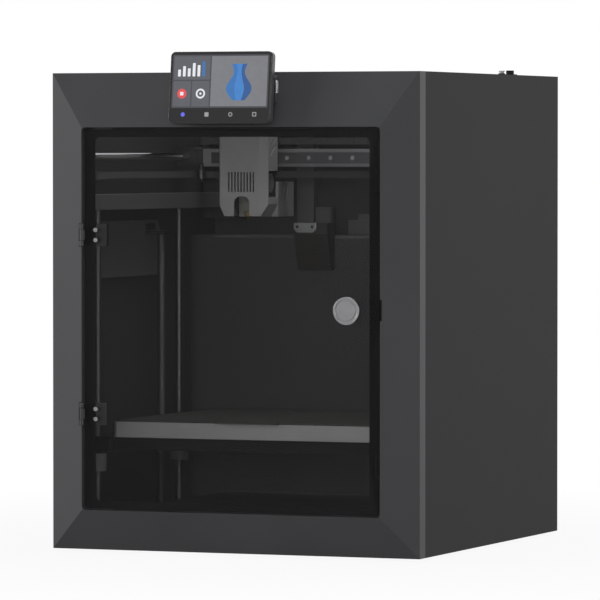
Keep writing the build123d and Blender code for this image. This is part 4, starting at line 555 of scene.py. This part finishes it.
def chutePlate():
    # a six-cornered outline carried forward in three steps: back face, front rim, and a smaller front face
    low, high = [np.array(c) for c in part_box("waste_chute")]
    look = chutePlateLook
    x0, x1 = low[0] + look["inset"], low[0] + look["inset"] + look["width"]
    z0, z1, cut = high[2] - look["height"], high[2], look["cut"]
    outline = np.array([(x0, z1), (x0, z0 + cut), (x0 + cut, z0), (x1 - cut, z0), (x1, z0 + cut), (x1, z1)])
    middle = outline.mean(0)
    back = high[1] - look["depth"]
    rings = []
    for share, forward in ((1, 0), (1, look["thick"]), (look["frontShare"], look["thick"] + look["frontStep"])):
        x, z = (middle + share * (outline - middle)).T
        rings.append(np.stack([x, np.full(6, back - forward), z], -1))
    faces = gridFaces(3, 6, True).tolist() + [[5, 4, 3, 2, 1, 0], [12, 13, 14, 15, 16, 17]]
    piece = addPiece("chutePlate", np.concatenate(rings), faces, materials["plateSteel"], "frame")
    edges = piece.modifiers.new("soft edges", "BEVEL")
    edges.width = look["softEdge"]
    edges.segments = 2
    return piece


railScrewHeads()
chutePlate()
print("rail screws and chute plate made")


# u and v run from the lower left of the lit area; every spot is (u, v, width, height, corner), in millimetres
display = dict(
    width=105.0, height=66.5, tilt=6.5, step=0.04, thick=0.1, perCorner=8,
    back=(0, 12.4, 105, 54.1, 1.0),
    picture=(42.4, 14, 61.1, 51, 0.8),
    graph=(1.5, 41.2, 39.4, 23.8, 0.8),
    tiles=[(1.5, 14, 19.0, 25.7, 0.8), (21.9, 14, 19.0, 25.7, 0.8)],
    bars=[7.0, 10.5, 8.2, 13.6, 11.4, 15.2],
    barRow=dict(u=6, v=44.5, pitch=5.3, width=3.0, corner=0.5),
    stop=[(6.0, 22, 10, 10, 4.9), (9.2, 25.2, 3.6, 3.6, 0.4)],
    dial=[(26.4, 22, 10, 10, 4.9), (30.2, 25.8, 2.4, 2.4, 1.1)],
    dialRing=0.66,
    menu=dict(us=[13, 39, 65, 91], v=3.6, width=4.4, corners=[2.1, 0.6, 2.1, 0.6], rings=[0, 0, 0.6, 0.6]),
    vase=dict(u=73.0, v=20.0, height=37.0, waist=9.5, swell=5.0, wave=2.1, start=0.6, narrowing=0.35,
              stations=28),
    strips=[("vaseLeft", -1, -0.35, "litBlue"), ("vaseMiddle", -0.35, 0.4, "lightBlue"),
            ("vaseRight", 0.4, 1, "deepBlue")],
)


def screenPoints(u, v, lift):
    # a point of the tilted glass: across along X, up along the tilted face, lift along its outward normal
    low, high = [np.array(c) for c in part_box("screen_glass")]
    t = math.radians(display["tilt"])
    up = np.array([0, math.sin(t), math.cos(t)])
    out = np.array([0, -math.cos(t), math.sin(t)])
    faceHeight = (high[2] - low[2]) / math.cos(t)
    corner = np.array([(low[0] + high[0]) / 2, low[1], low[2]])
    start = corner + up * (faceHeight - display["height"] * 0.001) / 2
    a = (np.asarray(u) - display["width"] / 2) * 0.001
    b = np.asarray(v) * 0.001
    c = np.asarray(lift) * 0.001
    return start + a[..., None] * np.array([1, 0, 0]) + b[..., None] * up + c[..., None] * out


def litSpot(name, spot, material, level=1, hollow=0.0):
    # the outline is four arcs of the corner radius about the corners' centres; hollow is its inner ring's share
    u0, v0, width, height, corner = spot
    n = 4 * display["perCorner"]
    side = np.arange(n) // display["perCorner"]
    angle = side * math.pi / 2 + np.tile(np.linspace(0, math.pi / 2, display["perCorner"]), 4)
    signU, signV = np.array([1, -1, -1, 1])[side], np.array([1, 1, -1, -1])[side]
    u = signU * (width / 2 - corner) + corner * np.cos(angle)
    v = signV * (height / 2 - corner) + corner * np.sin(angle)
    top = display["step"] * level
    rings = [(1, top - display["thick"]), (1, top)]
    if hollow:
        rings += [(hollow, top), (hollow, top - display["thick"])]
    share = np.array([r[0] for r in rings])[:, None]
    lift = np.array([r[1] for r in rings])[:, None] + 0 * u[None, :]
    points = screenPoints(u0 + width / 2 + share * u, v0 + height / 2 + share * v, lift).reshape(-1, 3)
    faces = gridFaces(len(rings), n, True).tolist()
    if hollow:
        ring = np.arange(n)
        faces += np.stack([3 * n + ring, 3 * n + (ring + 1) % n, (ring + 1) % n, ring], -1).tolist()
    else:
        poles = screenPoints([u0 + width / 2] * 2, [v0 + height / 2] * 2, [top - display["thick"], top])
        points = np.concatenate([points, poles])
        faces += poleFaces(2 * n, 0, n).tolist() + poleFaces(2 * n + 1, n, n, True).tolist()
    return addPiece(name, points, faces, material, "screen")


def vaseStrip(name, near, far, material):
    # half width = waist + swell * sin of the height, narrowing upwards; a flat bar between two shares of it
    look = display["vase"]
    t = np.linspace(0, 1, look["stations"])[:, None]
    swelling = np.sin(look["wave"] * math.pi * t - look["start"]) * (1 - look["narrowing"] * t)
    half = look["waist"] + look["swell"] * swelling
    u = look["u"] + half * np.array([[near, near, far, far]])
    v = look["v"] + look["height"] * t + 0 * u
    top = 3 * display["step"]
    lift = np.array([[top - display["thick"], top, top, top - display["thick"]]]) + 0 * t
    faces = barFaces(look["stations"])
    return addPiece(name, screenPoints(u, v, lift), faces, material, "screen")


glows = {
    "screenBack": (0.042, 0.044, 0.052),
    "panelGrey": (0.170, 0.173, 0.190),
    "tileGrey": (0.085, 0.087, 0.104),
    "litBlue": (0.022, 0.150, 0.430),
    "lightBlue": (0.034, 0.200, 0.550),
    "deepBlue": (0.010, 0.080, 0.270),
    "menuBlue": (0.120, 0.130, 0.800),
    "litWhite": (0.780, 0.790, 0.820),
    "menuGrey": (0.300, 0.305, 0.320),
    "litRed": (0.730, 0.060, 0.070),
}


def drawDisplay():
    # each spot lies one small step above what is under it
    lit = {name: makeLit(name, color) for name, color in glows.items()}
    litSpot("displayBack", display["back"], lit["screenBack"], 1)
    litSpot("displayPicture", display["picture"], lit["panelGrey"], 2)
    litSpot("displayGraph", display["graph"], lit["tileGrey"], 2)
    for i, tile in enumerate(display["tiles"]):
        litSpot(f"displayTile{i + 1}", tile, lit["tileGrey"], 2)
    row, bars = display["barRow"], display["bars"]
    for i, tall in enumerate(bars):
        spot = (row["u"] + i * row["pitch"], row["v"], row["width"], tall, row["corner"])
        litSpot(f"displayBar{i + 1}", spot, lit["litBlue" if i == len(bars) - 1 else "litWhite"], 3)
    litSpot("displayStopRing", display["stop"][0], lit["litRed"], 3)
    litSpot("displayStopMark", display["stop"][1], lit["litWhite"], 4)
    litSpot("displayDial", display["dial"][0], lit["litWhite"], 3, display["dialRing"])
    litSpot("displayDialSpot", display["dial"][1], lit["litWhite"], 3)
    menu = display["menu"]
    width = menu["width"]
    for i, (u, corner, ring) in enumerate(zip(menu["us"], menu["corners"], menu["rings"])):
        tone = lit["menuGrey" if i else "menuBlue"]
        litSpot(f"displayMenu{i + 1}", (u - width / 2, menu["v"], width, width, corner), tone, 2, ring)
    for name, near, far, tone in display["strips"]:
        vaseStrip(name, near, far, lit[tone])


drawDisplay()
print("display drawn")


stageLook = dict(floorColor=(0.28, 0.28, 0.28), floorRough=0.8, floorReach=60.0, floorGap=0.0002,
                 nearWhite=0.93, fadeStart=0.25, fadeOut=1.1, world=0.12)


def makeStage():
    # a level square grid just below the lowest point
    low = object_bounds()[0]
    n = 3
    across = np.linspace(-stageLook["floorReach"], stageLook["floorReach"], n)
    x, y = np.meshgrid(across, across, indexing="xy")
    points = np.stack([x, y, 0 * x + low[2] - stageLook["floorGap"]], -1)
    material, tree, shader = newMaterial("paleFloor")
    link = tree.links.new
    out = [node for node in tree.nodes if node.type == "OUTPUT_MATERIAL"][0]
    shader.inputs["Base Color"].default_value = (*stageLook["floorColor"], 1)
    shader.inputs["Roughness"].default_value = stageLook["floorRough"]
    white = addNode(tree, "ShaderNodeEmission", (600, -300), Strength=1.0)
    path = addNode(tree, "ShaderNodeLightPath", (0, 300))
    # the floor keeps the shadow near the object and fades to the white backdrop further out
    coords = addNode(tree, "ShaderNodeTexCoord", (-700, 0))
    far = addNode(tree, "ShaderNodeVectorMath", (-500, 0), operation="LENGTH")
    fade = addNode(tree, "ShaderNodeMapRange", (-250, 0), interpolation_type="SMOOTHSTEP")
    fade.inputs["From Min"].default_value = stageLook["fadeStart"]
    fade.inputs["From Max"].default_value = stageLook["fadeOut"]
    fade.inputs["To Min"].default_value = stageLook["nearWhite"]
    link(coords.outputs["Object"], far.inputs[0])
    link(far.outputs["Value"], fade.inputs["Value"])
    seen = compute(tree, "MAXIMUM", (100, 400), path.outputs["Is Camera Ray"], path.outputs["Is Glossy Ray"])
    share = compute(tree, "MULTIPLY", (300, 300), seen, fade.outputs[0])
    mix = addNode(tree, "ShaderNodeMixShader", (750, -100))
    for i, source in enumerate((share, shader.outputs[0], white.outputs[0])):
        link(source, mix.inputs[i])
    link(mix.outputs[0], out.inputs[0])
    floor = newObject("floor", points, gridFaces(n, n), material)


def makeWorld():
    # white where the camera, gloss or glass sees it, and dim where it lights the object
    world = bpy.data.worlds.new("studio")
    bpy.context.scene.world = world
    world.use_nodes = True
    tree = world.node_tree
    tree.nodes.clear()
    link = tree.links.new
    out = addNode(tree, "ShaderNodeOutputWorld", (600, 0))
    dim = addNode(tree, "ShaderNodeBackground", (200, 100), Strength=stageLook["world"])
    white = addNode(tree, "ShaderNodeBackground", (200, -100), Strength=1.0)
    for background in (dim, white):
        background.inputs[0].default_value = (1, 1, 1, 1)
    path = addNode(tree, "ShaderNodeLightPath", (-300, 0)).outputs
    seen = compute(tree, "MAXIMUM", (-150, 300), path["Is Camera Ray"], path["Is Glossy Ray"])
    either = compute(tree, "MAXIMUM", (50, 200), seen, path["Is Transmission Ray"])
    mix = addNode(tree, "ShaderNodeMixShader", (420, 0))
    for i, source in enumerate((either, dim.outputs[0], white.outputs[0])):
        link(source, mix.inputs[i])
    link(mix.outputs[0], out.inputs[0])


lamps = [
    dict(name="leftPanel", place=(-4.3, -1.5, 1.3), target=(0, -0.1, 0.25), power=175, size=(1.6, 1.5)),
    dict(name="rightPanel", place=(1.2, 1.1, 0.6), target=(0.2, 0.1, 0.25), power=5, size=(1.0, 1.0)),
    dict(name="cheekPanel", place=(3.9, -0.6, 0.9), target=(0, 0, 0.28), power=64, size=(1.4, 1.2)),
    dict(name="frontPanel", place=(1.2, -4.2, 0.7), target=(0, 0, 0.28), power=40, size=(1.4, 1.2)),
    dict(name="topPanel", place=(0.35, -0.1, 2.9), target=(0, 0.05, 0.3), power=51, size=(1.6, 1.6)),
]


def softLamp(name, place, target, power, size):
    # a rectangular lamp at its place, turned towards its target
    data = bpy.data.lights.new(name, "AREA")
    data.energy = power
    data.shape = "RECTANGLE"
    data.size = size[0]
    data.size_y = size[1]
    lamp = bpy.data.objects.new(name, data)
    bpy.context.scene.collection.objects.link(lamp)
    lamp.location = place
    lamp.rotation_euler = (Vector(target) - Vector(place)).to_track_quat("-Z", "Y").to_euler()


cameraLook = dict(place=(2.0000, -5.0445, 0.41123), lens=310.56, sensor=36, turn=21.7, down=1.638, farEnd=200)


def makeCamera():
    data = bpy.data.cameras.new("camera")
    data.lens = cameraLook["lens"]
    data.sensor_width = cameraLook["sensor"]
    data.clip_end = cameraLook["farEnd"]
    camera = bpy.data.objects.new("camera", data)
    bpy.context.scene.collection.objects.link(camera)
    camera.location = cameraLook["place"]
    camera.rotation_euler = (math.radians(90 - cameraLook["down"]), 0, math.radians(cameraLook["turn"]))
    bpy.context.scene.camera = camera


makeStage()
makeWorld()
for lamp in lamps:
    softLamp(**lamp)
makeCamera()
bpy.context.scene.view_settings.view_transform = "Standard"
print("stage set")
